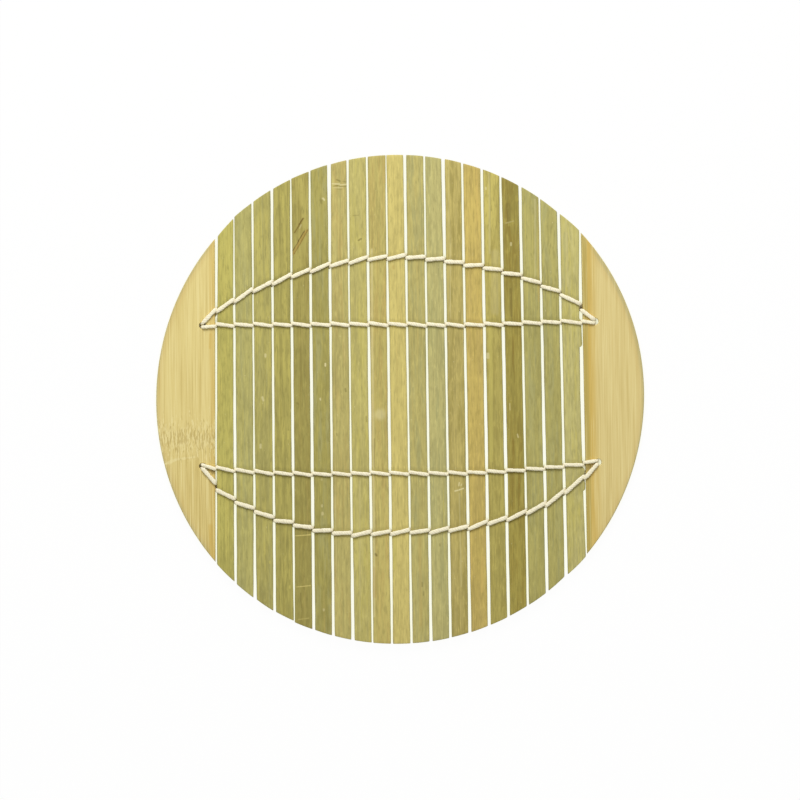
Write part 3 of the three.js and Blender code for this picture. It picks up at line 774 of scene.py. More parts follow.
def planed_board(node, side, tone, colours):
    """Planed bamboo board: pale straw with close straight grain, a satin finish and a stained inner edge.

    Its grain shows as long lines about 0.4 mm apart, bolder below the cane's joint. A left board also shows
    the joint: short light and dark dashes, with yellower grain below.
    """
    material, output = new_material(f"bamboo_planed_{node}")
    tree = material.node_tree
    place = flat_place(tree)
    fibres = grain(tree, place, 0.4, 32, 2 + side)
    streaks = grain(tree, place, 1.0, 80, 5 + side)
    clouds = grain(tree, place, 6, 50, 8 + side)
    at_zero, slope = inner_edge(side)
    outwards = (side, -side * slope, 0)
    squarely = add_node(tree, VECTOR_MATH, {0: place, 1: outwards}, operation="DOT_PRODUCT").outputs["Value"]
    from_edge = add_node(tree, MATH, {0: squarely, 1: side * at_zero}, operation="SUBTRACT").outputs[0]
    uneven = {0: streaks, 1: STAIN_RAGGED, 2: from_edge}
    ragged = add_node(tree, MATH, uneven, operation="MULTIPLY_ADD").outputs[0]
    radius = add_node(tree, VECTOR_MATH, {0: place}, operation="LENGTH").outputs["Value"]
    y = add_node(tree, "ShaderNodeSeparateXYZ", {"Vector": place}).outputs["Y"]
    grain_tone = opaque(colours.board_grain)
    light = opaque(colours.board_light)
    orange = opaque(colours.board_orange)
    # How strongly the grain shows above and below, and the stains of this board alone.
    if side < 0:
        upper, lower = 0.52, 0.88
        stained = (
            (grain_tone, y, -6 * MM, -46 * MM, 0.32),
            (orange, ragged, 4.6 * MM, 2.6 * MM, 0.6),
        )
    else:
        upper, lower = 0.45, 0.52
        stained = (
            (orange, ragged, 8.4 * MM, 4.0 * MM, 0.95),
            (opaque(colours.board_olive), ragged, 4.4 * MM, 2.9 * MM, 0.9),
        )
    ground = (
        (grain_tone, clouds, 0.5, 0.75, 0.25),
        (opaque(colours.board_tan), radius, RIM_RADIUS - 3.6 * MM, RIM_RADIUS - 1.6 * MM, 0.4),
        (opaque(colours.board_dull), radius, RIM_RADIUS - 1.8 * MM, RIM_RADIUS - 0.3 * MM, 0.8),
        *stained,
    )
    colour = stains(tree, opaque(tone), ground)
    for mark in marks_on(WOOD.index(node)):
        colour = marked(tree, colour, place, streaks, mark, opaque(getattr(colours, mark.colour)))
    bolder = {"Value": y, "From Min": -18 * MM, "From Max": -36 * MM, "To Min": upper, "To Max": lower}
    contrast = add_node(tree, "ShaderNodeMapRange", bolder).outputs["Result"]
    lines = (
        (grain_tone, streaks, 0.52, 0.75, 0.25),
        (light, streaks, 0.46, 0.3, 0.2),
        (tinted(colours.board_grain, 0.88), fibres, 0.48, 0.7, contrast),
        (light, fibres, 0.48, 0.3, contrast),
    )
    colour = stains(tree, colour, lines)
    if side < 0:
        colour = cane_joint(tree, place, y, colour, colours)
    surface(tree, output, colour, fibres, 0.03, {"Roughness": 0.55, "Specular IOR Level": 0.3})
    return material


def cane_joint(tree, place, y, colour, colours):
    """A joint of the cane across the left board: a band of short dark and light dashes."""
    above = add_node(tree, MATH, {0: y, 1: JOINT_Y}, operation="SUBTRACT").outputs[0]
    off = add_node(tree, MATH, {0: above}, operation="ABSOLUTE").outputs[0]
    layers = ((opaque(colours.board_light), 13, 0.4), (tinted(colours.board_grain, 0.82), 12, 0.44))
    for over, seed, bare in layers:
        dashes = grain(tree, place, 0.42, 3.0, seed)
        thinned = {0: off, 1: -1 / JOINT_REACH, 2: dashes}
        held = add_node(tree, MATH, thinned, operation="MULTIPLY_ADD").outputs[0]
        colour = stain(tree, colour, over, held, bare, bare + 0.12, 0.7)
    return colour


def cotton_string(colours):
    """Twisted cotton kitchen string: soft, matt and off-white, with painted shade between its plies.

    Cotton fibres are too fine to show, so its fuzz is drawn 0.3 mm coarse.
    """
    material, output = new_material("cotton_string_twisted")
    tree = material.node_tree
    place = add_node(tree, "ShaderNodeTexCoord").outputs["Object"]
    groove = add_node(tree, "ShaderNodeAttribute", attribute_name="groove").outputs["Fac"]
    fuzz = grain(tree, place, 0.3, 0.3, 1)
    blotches = grain(tree, place, 1.1, 0.9, 2)
    layers = (
        (opaque(colours.blotch), blotches, 0.48, 0.66, 0.6),
        # Painted shade in the grooves between the plies.
        (opaque(colours.groove), groove, 0.35, 1.0, 0.5),
        (opaque(colours.groove), fuzz, 0.55, 0.8, 0.3),
    )
    colour = stains(tree, opaque(colours.cotton), layers)
    cloth = {"Roughness": 0.95, "Specular IOR Level": 0.15, "Sheen Weight": 0.15, "Sheen Roughness": 0.5}
    surface(tree, output, colour, fuzz, 0.05, cloth)
    return material


# Slats.

# Places of a slat's three materials.
SKIN_FACES, INNER_FACES, END_FACES = 0, 1, 2

# Steps round an edge, across the crown and round a sanded end.
ROUNDING_STEPS = 5
CROWN_STEPS = 22
END_STEPS = 4

# Waves across a slat's skin: their length, how they slant along the slat, and the share of its width that
# they take.
SKIN_WAVE = 2.4 * MM
SKIN_SLANT = 0.02
SKIN_SHARE = 0.9


def slat_columns(half, thickness, settings):
    """Offsets across a slat, with the heights of its skin and its underside above its middle."""
    radius = settings.edge_radius
    turn = np.linspace(0, math.pi / 2, ROUNDING_STEPS, endpoint=False)
    rounded = half - radius * (1 - np.cos(turn))
    flat = half - radius
    middle = np.linspace(-flat, flat, CROWN_STEPS)
    offsets = np.concatenate([-rounded, middle, rounded[::-1]])
    shoulder = thickness / 2 - settings.crown
    lift = radius * (np.sin(turn) - 1)
    crown = settings.crown * (1 - (middle / flat) ** 2)
    tops = shoulder + np.concatenate([lift, crown, lift[::-1]])
    bottoms = -thickness / 2 - np.concatenate([lift, np.zeros(CROWN_STEPS), lift[::-1]])
    return offsets, tops, bottoms


# A ring of a slat: its share of the way from foot to head, and how far sanding draws in the ends of the slat
# and the sides of its section there.
Station = namedtuple("Station", "share rim_inset inset")


def slat_stations(settings):
    """The rings of a slat from its foot to its head, close together on the sanded ends."""
    radius = settings.end_radius
    turn = np.linspace(0, math.pi / 2, END_STEPS)
    from_rim = radius * (1 - np.sin(turn))
    from_sides = radius * (1 - np.cos(turn))
    count = int(2 * RIM_RADIUS / settings.ring_spacing)
    body = np.ones(count - 2)
    shares = np.concatenate([np.zeros(END_STEPS - 1), np.linspace(0, 1, count), np.ones(END_STEPS - 1)])
    rim_insets = np.concatenate([from_rim[::-1], radius * body, from_rim])
    insets = np.concatenate([from_sides[::-1], 0 * body, from_sides])
    return [Station(*ring) for ring in zip(shares, rim_insets, insets)]


def slat_plan(node, half, offsets, station):
    """X and Y of the points across a slat at one of its rings, between its ends on the hand-cut rim."""
    (left, slope), (right, _) = LINES[node]
    length_way = np.array([slope, 1.0]) / math.hypot(slope, 1.0)
    across_way = np.array([length_way[1], -length_way[0]])
    centre = np.array([(left + right) / 2, 0.0])
    base = centre + np.outer(offsets * (1 - station.inset / half), across_way)
    along = base @ length_way
    aside = (base**2).sum(axis=1) - along**2
    ends = []
    for end in (-1, 1):
        tip = base + np.outer(end * np.sqrt(RIM_RADIUS**2 - aside) - along, length_way)
        radius = rim_radius(np.arctan2(tip[:, 1], tip[:, 0])) - station.rim_inset
        ends.append(end * np.sqrt(radius**2 - aside) - along)
    plan = base + np.outer(ends[0] + (ends[1] - ends[0]) * station.share, length_way)
    y = plan[:, 1]
    left_stray = edge_x(node, -1, y) - solid_edge(node, -1, y)
    right_stray = edge_x(node, 1, y) - solid_edge(node, 1, y)
    plan[:, 0] += (left_stray * (half - offsets) + right_stray * (half + offsets)) / (2 * half)
    return plan


def slat_mesh(node, number, settings):
    """One slat: its section drawn along its own line, cut and sanded to the round rim."""
    (left, slope), (right, _) = LINES[node]
    low, high = FACES[node]
    half = (right - left) / 2 * math.cos(math.atan(slope))
    offsets, tops, bottoms = slat_columns(half, high - low, settings)
    stations = slat_stations(settings)
    rings = []
    for station in stations:
        plan = slat_plan(node, half, offsets, station)
        y = plan[:, 1]
        waves = wander(offsets + SKIN_SLANT * y, number, SKIN_WAVE) + wander(y, 3 * number, LONG_WAVE)
        flatten = 1 - station.inset / ((high - low) / 2)
        relief = settings.relief * waves * (np.abs(offsets) < SKIN_SHARE * half)
        rings.append(np.column_stack([plan, (high + low) / 2 + tops * flatten + relief]))
        rings.append(np.column_stack([plan, (high + low) / 2 + bottoms * flatten])[::-1])
    count = len(stations)
    columns = len(offsets)
    loop = 2 * columns
    walls = grid_faces(count, loop)
    kinds = np.where(walls[:, 0] % loop < columns - 1, SKIN_FACES, INNER_FACES)
    steps = np.arange(columns - 1)
    cap = np.stack([steps, steps + 1, loop - 2 - steps, loop - 1 - steps], axis=-1)
    faces = np.concatenate([walls, cap, cap + (count - 1) * loop])
    kinds = np.concatenate([kinds, np.full(2 * len(cap), END_FACES)])
    mesh = bpy.data.meshes.new(node)
    mesh.from_pydata(np.concatenate(rings).tolist(), [], faces.tolist())
    mesh.polygons.foreach_set("material_index", kinds.astype(np.int32))
    across = mesh.attributes.new("across", "FLOAT", "POINT")
    ratio = np.abs(np.concatenate([offsets, offsets[::-1]])) / half
    across.data.foreach_set("value", np.tile(ratio, count).astype(np.float32))
    face_outwards(mesh)
    return mesh


class STEAMER_MAT_OT_slats(bpy.types.Operator):
    """Add the split bamboo slats"""

    bl_idname = "steamer_mat.slats"
    bl_label = "Slats"

    def execute(self, context):
        settings = context.scene.steamer_mat
        inner = inner_bamboo(settings.bamboo)
        end = end_grain(settings.bamboo)
        for number, (node, skin) in enumerate(zip(SLATS, SKINS, strict=True), start=1):
            materials = [bamboo_skin(number, skin, settings.bamboo), inner, end]
            piece = new_object(f"{node}_split", slat_mesh(node, number, settings.wood), materials)
            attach(piece, node)
            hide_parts(node)
        return {"FINISHED"}


# End boards.

# Steps round the rim, along the inner edge and round a hole.
ARC_STEPS = 180
CHORD_STEPS = 90
HOLE_STEPS = 40

# A face whose normal stands more upright than this is flat.
FLAT_FACE = 0.9999


def knot_node(hole, side):
    return f"{hole}_{'left' if side < 0 else 'right'}_knot"


def hole_centre(hole, side):
    """Middle of a lacing hole: the knot lies beside it, with its outer edge under the hole's middle."""
    low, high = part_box(knot_node(hole, side))
    radius = (high.y - low.y) / 2
    return np.array([(low.x + high.x) / 2 + side * radius, (low.y + high.y) / 2 + HOLE_STRAYS[hole] * MM])


def board_loop(side, inset):
    """Outline of a board drawn in by an inset: the rim's arc, then the straight inner edge."""
    at_zero, slope = inner_edge(side)
    at_zero += side * inset * math.hypot(1, slope)
    square = 1 + slope**2
    corners = []
    for end in (-side, side):
        corner = math.atan2(end * math.sqrt(RIM_RADIUS**2 - at_zero**2), at_zero)
        radius = rim_radius(corner) - inset
        corners.append((end * math.sqrt(radius**2 * square - at_zero**2) - slope * at_zero) / square)
    start, stop = (math.atan2(y, side * (at_zero + slope * y)) for y in corners)
    angles = np.linspace(start, stop, ARC_STEPS)
    radius = rim_radius(angles if side > 0 else math.pi - angles) - inset
    arc = np.column_stack([side * radius * np.cos(angles), radius * np.sin(angles)])
    chord_y = np.linspace(corners[1], corners[0], CHORD_STEPS)[1:-1]
    chord = np.column_stack([at_zero + slope * chord_y, chord_y])
    return np.concatenate([arc, chord])


def hole_loop(centre, radius):
    angles = np.linspace(0, 2 * math.pi, HOLE_STEPS, endpoint=False)
    return centre + radius * np.column_stack([np.cos(angles), np.sin(angles)])


def add_wall(shape, loops):
    """Walls between a pile of loops with as many points each. Returns the edges of the first and last."""
    made = [[shape.verts.new(point) for point in loop] for loop in loops]
    for above, below in zip(made, made[1:]):
        for a, b, c, d in zip(above, above[1:] + above[:1], below[1:] + below[:1], below):
            shape.faces.new((a, b, c, d))
    borders = []
    for loop in (made[0], made[-1]):
        borders.append([shape.edges.get((a, b)) for a, b in zip(loop, loop[1:] + loop[:1])])
    return borders


def edge_profile(low, high, radius):
    """Insets and heights down a rounded edge, from the upper face to the lower."""
    turn = np.linspace(0, math.pi / 2, ROUNDING_STEPS + 1)
    insets = radius * (1 - np.sin(turn))
    drops = radius * (1 - np.cos(turn))
    return np.concatenate([insets, insets[::-1]]), np.concatenate([high - drops, (low + drops)[::-1]])


def board_mesh(node, side, settings):
    """One end board: a circle segment with softened edges and two lacing holes."""
    low, high = FACES[node]
    shape = bmesh.new()
    insets, heights = edge_profile(low, high, settings.board_edge_radius)
    outline = [np.insert(board_loop(side, inset), 2, z, axis=1) for inset, z in zip(insets, heights)]
    borders = [add_wall(shape, outline)]
    insets, heights = edge_profile(low, high, settings.hole_edge_radius)
    for hole in ("upper", "lower"):
        centre = hole_centre(hole, side)
        rims = [hole_loop(centre, settings.hole_diameter / 2 + inset) for inset in insets]
        borders.append(add_wall(shape, [np.insert(rim, 2, z, axis=1) for rim, z in zip(rims, heights)]))
    for loops in zip(*borders):
        bmesh.ops.triangle_fill(shape, use_beauty=True, use_dissolve=False, edges=sum(loops, []))
    mesh = bpy.data.meshes.new(node)
    shape.to_mesh(mesh)
    shape.free()
    face_outwards(mesh)
    rounded = [abs(polygon.normal.z) < FLAT_FACE for polygon in mesh.polygons]
    mesh.polygons.foreach_set("use_smooth", rounded)
    return mesh


class STEAMER_MAT_OT_boards(bpy.types.Operator):
    """Add the two end boards"""

    bl_idname = "steamer_mat.boards"
    bl_label = "End boards"

    def execute(self, context):
        settings = context.scene.steamer_mat
        tones = (settings.bamboo.left_board, settings.bamboo.right_board)
        for node, side, tone in zip(BOARDS, (-1, 1), tones):
            material = planed_board(node, side, tone, settings.bamboo)
            piece = new_object(f"{node}_planed", board_mesh(node, side, settings.wood), [material])
            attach(piece, node)
            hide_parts(node)
        return {"FINISHED"}


# Lacing.

# Steps round a strand, round an edge and along a face, and how often a strand's route is smoothed.
STRAND_SIDES = 18
WRAP_STEPS = 8
RUN_STEPS = 12
SMOOTHING = 6

# X of the last gap, where a row ends.
LAST_GAP_X = (solid_edge(SLATS[-1], 1, 0.0) + solid_edge(BOARDS[1], -1, 0.0)) / 2

# How far up and down from a gap's middle its line is read.
BOW_REACH = 45 * MM

# Length in which the string grows thicker and thinner.
SLUB_LENGTH = 5.5 * MM

# Points of a route that lie closer than this count as one.
LEAST_STEP = 1e-7

# Where a strand passes through a gap.
Crossing = namedtuple("Crossing", "x y room")


class Route:
    """A strand's middle line with, at each point, the way off the wood and the strand's two sizes."""

    def __init__(self):
        self.samples = []

    def add(self, point, off, width, height):
        self.samples.append([*point, *off, width, height])

    def join(self, other):
        self.samples += other.samples

    def turned(self):
        other = Route()
        other.samples = self.samples[::-1]
        return other


def face_of(strand, index):
    """1 where a strand lies on top of a wooden piece, -1 where it lies below."""
    return 1 if (index + strand) % 2 == 0 else -1


def crossing(row, strand, number):
    """Where a strand passes the gap with this number, beside the other strand of its row."""
    left, right = WOOD[number - 1], WOOD[number]
    x = (solid_edge(left, 1, 0.0) + solid_edge(right, -1, 0.0)) / 2 + laid_aside(number, row.middle * MM)
    end = row.left if x < 0 else row.right
    line = row.middle + (end - row.middle) * abs(x / LAST_GAP_X) ** row.power
    stray = np.interp(x / MM, *zip(*STRAYS[row.name]))
    end_strays = END_STRAYS.get(row.name, (0.0, 0.0))
    for index, beside, end_stray in zip((0, GAP_COUNT), (1, GAP_COUNT), end_strays):
        if number == beside and face_of(strand, index) > 0:
            stray += end_stray
    if number not in (1, GAP_COUNT):
        stray += row.step if number % 2 else -row.step
    y = MM * (line + stray + row.twist * face_of(strand, number - 1))
    low, high = edge_x(left, 1, y), edge_x(right, -1, y)
    return Crossing((low + high) / 2, y, high - low)


def face_height(node, face, settings):
    """Height of a wooden piece's face at its edges, and the rise of its crown."""
    low, high = FACES[node]
    if node in BOARDS or face < 0:
        return (high if face > 0 else low), 0.0
    return high - settings.crown, settings.crown


def edge_wrap(row, node, side, face, start, aim, settings):
    """A strand laid round one edge of a wooden piece, from out in the gap to lying on its face."""
    wood, string = settings.wood, settings.string
    radius = wood.board_edge_radius if node in BOARDS else wood.edge_radius
    height, _ = face_height(node, face, wood)
    centre_x = edge_x(node, side, start.y) - side * radius
    centre_z = height - face * radius
    slope = (aim[1] - start.y) / (aim[0] - start.x)
    lying = string.clearance + string.height / 2
    thick = min(start.room - 2 * string.clearance, string.height)
    route = Route()
    for laid in np.linspace(0, 1, WRAP_STEPS):
        turn = laid * math.pi / 2
        off = np.array([side * math.cos(turn), 0.0, face * math.sin(turn)])
        reach = radius + start.room / 2 + (lying - start.room / 2) * laid
        x = centre_x + off[0] * reach
        y = start.y + slope * (x - start.x)
        width = string.gap_width + (row.width * MM - string.gap_width) * math.sqrt(laid)
        tall = thick + (string.height - thick) * laid
        route.add((x, y, centre_z + off[2] * reach), face * off, width, tall)
    return route


def stitch(row, strand, index, settings):
    """A strand's way over or under one slat."""
    node = WOOD[index]
    face = face_of(strand, index)
    start = crossing(row, strand, index)
    end = crossing(row, strand, index + 1)
    string = settings.string
    route = edge_wrap(row, node, -1, face, start, (end.x, end.y), settings)
    falling = edge_wrap(row, node, 1, face, end, (start.x, start.y), settings).turned()
    height, crown = face_height(node, face, settings.wood)
    first, last = np.array(route.samples[-1][:2]), np.array(falling.samples[0][:2])
    for share in np.linspace(0, 1, RUN_STEPS)[1:-1]:
        rise = crown * (1 - (2 * share - 1) ** 2)
        z = height + rise + face * (string.clearance + string.height / 2)
        route.add((*(first + (last - first) * share), z), UP, row.width * MM, string.height)
    route.join(falling)
    return route


def into_hole(row, side, start, settings):
    """A strand's end on top of a board: across it, over the hole's rim and down to the knot."""
    wood, string = settings.wood, settings.string
    node = board_at(side)
    radius = wood.hole_diameter / 2
    seat = string.left_seat if side < 0 else string.right_seat
    offset = np.array([-side * seat, row.hole_side * (string.hole_size / 2 + string.clearance)])
    bottom = hole_centre(row.hole, side) + offset
    back = np.array([start.x, start.y]) - bottom
    back = back / np.linalg.norm(back)
    along = offset @ back
    to_rim = math.sqrt(along**2 + radius**2 - offset @ offset) - along
    round_rim = wood.hole_edge_radius
    centre = np.array([*(bottom + back * (to_rim + round_rim)), FACES[node][1] - round_rim])
    inward = np.array([*back, 0.0])
    lying = string.clearance + string.height / 2
    route = edge_wrap(row, node, -side, 1, start, bottom, settings)
    for laid in np.linspace(1, 0, WRAP_STEPS):
        turn = laid * math.pi / 2
        off = -inward * math.cos(turn) + UP * math.sin(turn)
        reach = round_rim + to_rim + (lying - to_rim) * laid
        width = string.hole_size + (row.width * MM - string.hole_size) * laid
        thick = string.hole_size + (string.height - string.hole_size) * laid
        route.add(centre + off * reach, off, width, thick)
    knot_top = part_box(knot_node(row.hole, side))[1].z
    route.add((*bottom, knot_top), -inward, string.hole_size, string.hole_size)
    return route


def to_knot(row, side, start, settings):
    """A strand's end under a board, up to the side of the knot."""
    string = settings.string
    node = board_at(side)
    low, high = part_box(knot_node(row.hole, side))
    aim = np.array([(low.x + high.x) / 2, (low.y + high.y) / 2 + row.hole_side * string.hole_size / 2])
    route = edge_wrap(row, node, -side, -1, start, aim, settings)
    z = FACES[node][0] - string.clearance - string.height / 2
    route.add((*aim, z), UP, string.hole_size, string.height)
    return route


def board_end(row, strand, side, settings):
    """A strand's end on one of the boards, from the gap outwards."""
    index, number = (0, 1) if side < 0 else (GAP_COUNT, GAP_COUNT)
    start = crossing(row, strand, number)
    end = into_hole if face_of(strand, index) > 0 else to_knot
    return end(row, side, start, settings)


def strand_route(row, strand, settings):
    """A whole strand, from its left end to its right."""
    route = board_end(row, strand, -1, settings).turned()
    for index in range(1, GAP_COUNT):
        route.join(stitch(row, strand, index, settings))
    route.join(board_end(row, strand, 1, settings))
    return np.array(route.samples)


def resampled(samples, spacing):
    """A route's samples at even steps along its length, smoothed a little, and the length at each."""
    steps = np.linalg.norm(np.diff(samples[:, :3], axis=0), axis=1)
    samples = samples[np.concatenate([[True], steps > LEAST_STEP])]
    travelled = np.concatenate([[0.0], np.cumsum(np.linalg.norm(np.diff(samples[:, :3], axis=0), axis=1))])
    even = np.linspace(0, travelled[-1], int(travelled[-1] / spacing) + 1)
    dense = np.column_stack([np.interp(even, travelled, column) for column in samples.T])
    for _ in range(SMOOTHING):
        dense[1:-1] = (dense[:-2] + 2 * dense[1:-1] + dense[2:]) / 4
    return dense, even


def unit(vectors):
    return vectors / np.linalg.norm(vectors, axis=1)[:, None]


def strand_rings(samples, string):
    """Rings of the twisted string along a route, each side's groove depth, and the route's middle line."""
    dense, travelled = resampled(samples, string.ring_spacing)
    centre, off = dense[:, :3], dense[:, 3:6]
    way = unit(np.gradient(centre, axis=0))
    off = unit(off - way * (off * way).sum(axis=1)[:, None])
    across = np.cross(off, way)
    side = 2 * math.pi * np.arange(STRAND_SIDES) / STRAND_SIDES
    groove = 1 - np.abs(np.cos(side * string.plies / 2))
    swell = 1 - string.ply_depth * groove
    turn = side[None, :] + 2 * math.pi * travelled[:, None] / string.lay
    slubs = 1 + string.slub * wander(travelled, samples[0, 1] / MM, SLUB_LENGTH)[:, None]
    width, height = slubs * dense[:, 6:7], dense[:, 7:8]
    parts = (np.cos(turn), np.sin(turn))
    level, upright = (np.sign(part) * np.abs(part) ** string.flatness for part in parts)
    rings = centre[:, None, :]
    rings = rings + across[:, None, :] * (width / 2 * swell * level)[:, :, None]
    rings = rings + off[:, None, :] * (height / 2 * swell * upright)[:, :, None]
    return rings, groove, centre


def slat_middles(centre):
    """Numbers of the rings that cross the middle line of each slat."""
    cuts = []
    for node in SLATS:
        middle = (edge_x(node, -1, centre[:, 1]) + edge_x(node, 1, centre[:, 1])) / 2
        cuts.append(int(np.argmin(np.abs(centre[:, 0] - middle))))
    return cuts


def string_mesh(name, tubes):
    """One mesh of several closed tubes, each a pair of rings and grooves, with crisp ends."""
    points, faces, grooves = [], [], []
    held = 0
    for rings, groove in tubes:
        count, sides, _ = rings.shape
        ends = [held + np.arange(sides), held + np.arange((count - 1) * sides, count * sides)]
        faces += (held + grid_faces(count, sides)).tolist()
        faces += [end.tolist() for end in ends]
        points.append(rings.reshape(-1, 3))
        grooves.append(np.tile(groove, count))
        held += count * sides
    mesh = bpy.data.meshes.new(name)
    mesh.from_pydata(np.concatenate(points).tolist(), [], faces)
    # The groove depth also sets where the painted shade lies on the string.
    attribute = mesh.attributes.new("groove", "FLOAT", "POINT")
    attribute.data.foreach_set("value", np.concatenate(grooves).astype(np.float32))
    face_outwards(mesh)
    mesh.polygons.foreach_set("use_smooth", [len(polygon.vertices) == 4 for polygon in mesh.polygons])
    return mesh


def gap_middle(number, y):
    """Middle of a gap at Y, half way up the slats."""
    left, right = WOOD[number - 1], WOOD[number]
    x = (edge_x(left, 1, y) + edge_x(right, -1, y)) / 2
    return np.array([x, y, sum(FACES[SLATS[0]]) / 2])


class STEAMER_MAT_OT_lacing(bpy.types.Operator):
    """Add the twined cotton lacing, one stretch for each gap"""

    bl_idname = "steamer_mat.lacing"
    bl_label = "Lacing"

    def execute(self, context):
        settings = context.scene.steamer_mat
        material = cotton_string(settings.cotton)
        stretches = {number: [] for number in range(1, GAP_COUNT + 1)}
        for row in ROWS:
            for strand in (0, 1):
                rings, groove, centre = strand_rings(strand_route(row, strand, settings), settings.string)
                cuts = [0, *slat_middles(centre), len(rings) - 1]
                for number, (first, last) in enumerate(zip(cuts, cuts[1:]), start=1):
                    stretches[number].append((rings[first : last + 1], groove))
        for number, tubes in stretches.items():
            name = f"lacing_gap_{number:02d}"
            piece = new_object(name, string_mesh(name, tubes), [material])
            head, foot = (gap_middle(number, y) for y in (BOW_REACH, -BOW_REACH))
            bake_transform(piece)
            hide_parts(*STRANDS)
        return {"FINISHED"}


# Knots.

# Steps along a knot and along a cut end.
KNOT_STEPS = 140
TAIL_STEPS = 24

# Thickness of the string in a knot, as a share of the knot's height.
KNOT_STRING = 0.55

# How much further a cut end has turned at its tip, as a share of its angle.
TAIL_BEND = 0.18

# Ways that the cut ends lie under the left and the right board, in degrees from straight outwards.
TAIL_WAYS = {-1: (-13, 14), 1: (-72, 66)}


def knot_route(low, high):
    """An overhand knot pulled down flat between two corners of its box."""
    thick = KNOT_STRING * (high[2] - low[2])
    middle = (low + high) / 2
    reach = (high[1] - low[1] - thick) / 6
    rise = (high[2] - low[2] - thick) / 2
    route = Route()
    # The curve of a trefoil, which reaches 3 to either side.
    for turn in np.linspace(0, 2 * math.pi, KNOT_STEPS):
        x = math.sin(turn) + 2 * math.sin(2 * turn)
        y = math.cos(turn) - 2 * math.cos(2 * turn)
        route.add(middle + np.array([reach * x, reach * y, -rise * math.sin(3 * turn)]), UP, thick, thick)
    return np.array(route.samples)


def tail_route(low, high, side, degrees, string):
    """A cut end of string that lies under a board, from the knot outwards."""
    middle = (low + high) / 2
    size = string.hole_size
    z = high[2] - string.clearance - size / 2
    route = Route()
    for share in np.linspace(0, 1, TAIL_STEPS):
        turn = math.radians(degrees) * (1 + TAIL_BEND * share)
        way = np.array([side * math.cos(turn), math.sin(turn)])
        route.add((*(middle[:2] + way * string.tail_length * share), z), UP, size, size)
    return np.array(route.samples)


class STEAMER_MAT_OT_knots(bpy.types.Operator):
    """Add the knots under the lacing holes"""

    bl_idname = "steamer_mat.knots"
    bl_label = "Knots"

    def execute(self, context):
        settings = context.scene.steamer_mat
        string = settings.string
        material = cotton_string(settings.cotton)
        for hole in ("upper", "lower"):
            for node, side in zip(BOARDS, (-1, 1)):
                knot = knot_node(hole, side)
                low, high = (np.array(corner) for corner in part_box(knot))
                routes = [knot_route(low, high)]
                routes += [tail_route(low, high, side, degrees, string) for degrees in TAIL_WAYS[side]]
                tubes = [strand_rings(route, string)[:2] for route in routes]
                piece = new_object(f"{knot}_tied", string_mesh(knot, tubes), [material])
                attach(piece, node)
                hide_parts(knot)
        return {"FINISHED"}


# Stage.

# Room between the mat and the floor, how far from the mat the floor takes its painted warm light and
# shade, and how finely these are drawn.
FLOOR_DROP = 0.05 * MM
WARM_REACH = 2.5 * MM
AIR_SAMPLES = 8


def looked_at(tree):
    """1 for what is seen straight, in a reflection or through something clear, and 0 for light."""
    path = add_node(tree, "ShaderNodeLightPath").outputs
    seen = path["Is Camera Ray"]
    for ray in ("Is Glossy Ray", "Is Transmission Ray"):
        seen = add_node(tree, MATH, {0: seen, 1: path[ray]}, operation="MAXIMUM").outputs[0]
    return seen


def pale_floor(settings):
    """Plain matt floor that shows as white to the eye and still takes the mat's shadow.

    Between the slats it shows painted warm light thrown by the bamboo beside it, and under them painted
    shade.
    """
    material, output = new_material("floor_matt_white")
    tree = material.node_tree
    seen = {0: looked_at(tree), 1: settings.floor_white}
    share = add_node(tree, MATH, seen, operation="MULTIPLY").outputs[0]
    matt = add_node(tree, "ShaderNodeBsdfDiffuse", {"Color": opaque(settings.floor_colour)})
    reach = {"Distance": WARM_REACH}
    open_air = add_node(tree, "ShaderNodeAmbientOcclusion", reach, samples=AIR_SAMPLES).outputs["AO"]
    layers = (
        (opaque(settings.floor_shade), open_air, 0.38, 0.26, 0.9),
        (WHITE, open_air, 0.58, 0.8, 1.0),
    )
    tint = stains(tree, opaque(settings.floor_warm), layers)
    white = add_node(tree, "ShaderNodeEmission", {"Color": tint, "Strength": 1.0})
    both = add_node(tree, "ShaderNodeMixShader", {0: share, 1: matt.outputs[0], 2: white.outputs[0]})
    tree.links.new(both.outputs[0], output.inputs["Surface"])
    return material


def white_world(settings):
    """Even, warm light from all round, white where it is looked at."""
    world = bpy.data.worlds.new("studio_white")
    world.use_nodes = True
    tree = world.node_tree
    tree.nodes.clear()
    warm = tinted(settings.sky_colour, settings.sky)
    colour = stain(tree, warm, WHITE, looked_at(tree), 0.0, 1.0, 1.0)
    sky = add_node(tree, "ShaderNodeBackground", {"Color": colour, "Strength": 1.0})
    output = add_node(tree, "ShaderNodeOutputWorld")
    tree.links.new(sky.outputs[0], output.inputs["Surface"])
    return world


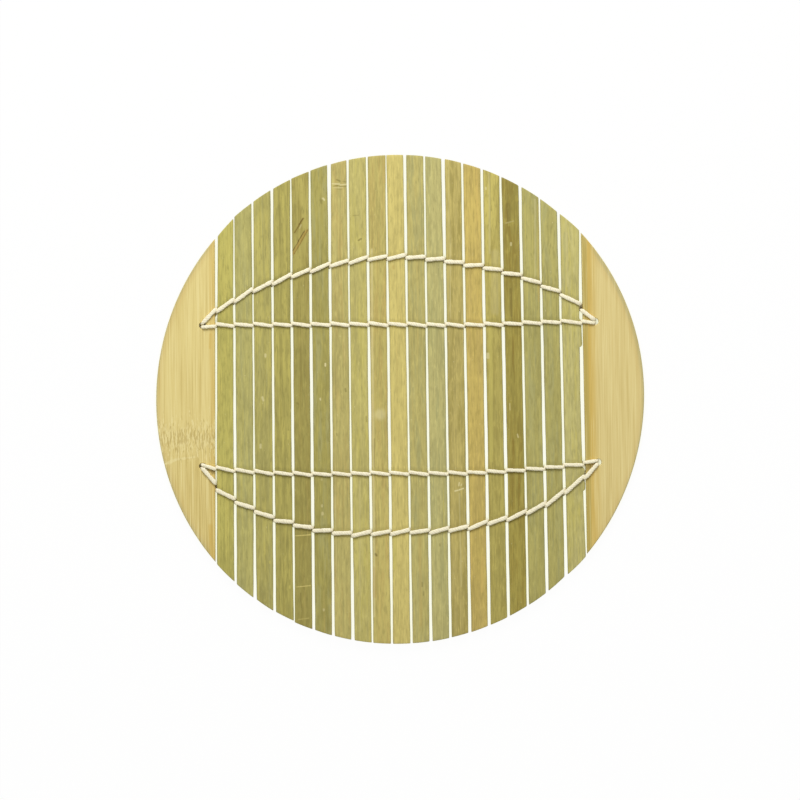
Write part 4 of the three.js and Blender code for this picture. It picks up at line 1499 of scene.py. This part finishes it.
class STEAMER_MAT_OT_stage(bpy.types.Operator):
    """Add the floor, the light and the camera"""

    bl_idname = "steamer_mat.stage"
    bl_label = "Stage"

    def execute(self, context):
        settings = context.scene.steamer_mat.stage
        scene = context.scene
        scene.view_settings.view_transform = "Standard"
        scene.world = white_world(settings)
        self.add_floor(settings)
        self.add_lamp(settings)
        self.add_camera(scene, settings)
        return {"FINISHED"}

    def add_floor(self, settings):
        half = settings.floor_size / 2
        below = CAD_BOUNDS[0].z - FLOOR_DROP
        mesh = bpy.data.meshes.new("floor")
        corners = [(-half, -half, below), (half, -half, below), (half, half, below), (-half, half, below)]
        mesh.from_pydata(corners, [], [(0, 1, 2, 3)])
        new_object("floor", mesh, [pale_floor(settings)])

    def add_lamp(self, settings):
        lamp = bpy.data.lights.new("soft_lamp", "AREA")
        lamp.energy = settings.lamp_power
        lamp.size = settings.lamp_size
        holder = bpy.data.objects.new("soft_lamp", lamp)
        holder.location = settings.lamp_place
        holder.rotation_euler = (-holder.location).to_track_quat("-Z", "Y").to_euler()
        bpy.context.scene.collection.objects.link(holder)

    def add_camera(self, scene, settings):
        camera = bpy.data.cameras.new("camera_above")
        camera.lens = settings.lens
        holder = bpy.data.objects.new("camera_above", camera)
        distance = settings.frame_width * camera.lens / camera.sensor_width
        skin_height = FACES[SLATS[0]][1]
        holder.location = (settings.centre[0], settings.centre[1], skin_height + distance)
        holder.rotation_euler = (0.0, 0.0, settings.roll)
        scene.collection.objects.link(holder)
        scene.camera = holder


class STEAMER_MAT_PT_panel(bpy.types.Panel):
    """Lists the pieces of the mat"""

    bl_label = "Steamer Mat"
    bl_idname = "STEAMER_MAT_PT_panel"
    bl_space_type = "VIEW_3D"
    bl_region_type = "UI"
    bl_category = "Steamer Mat"

    def draw(self, context):
        for operator in OPERATORS:
            self.layout.operator(operator.bl_idname)
        settings = context.scene.steamer_mat
        for group in (settings.wood, settings.string, settings.bamboo, settings.cotton, settings.stage):
            column = self.layout.column()
            for name in group.bl_rna.properties.keys():
                if name not in ("rna_type", "name"):
                    column.prop(group, name)


OPERATORS = (
    STEAMER_MAT_OT_stage,
    STEAMER_MAT_OT_slats,
    STEAMER_MAT_OT_boards,
    STEAMER_MAT_OT_lacing,
    STEAMER_MAT_OT_knots,
)
SETTINGS = (WoodSettings, StringSettings, BambooColours, StringColours, StageSettings, MatSettings)
CLASSES = (*SETTINGS, *OPERATORS, STEAMER_MAT_PT_panel)


def register():
    for kind in CLASSES:
        bpy.utils.register_class(kind)
    bpy.types.Scene.steamer_mat = PointerProperty(type=MatSettings)


def unregister():
    del bpy.types.Scene.steamer_mat
    for kind in reversed(CLASSES):
        bpy.utils.unregister_class(kind)


def main():
    register()
    bpy.ops.steamer_mat.stage()
    bpy.ops.steamer_mat.slats()
    bpy.ops.steamer_mat.boards()
    bpy.ops.steamer_mat.lacing()
    bpy.ops.steamer_mat.knots()


if __name__ == "__main__":
    main()
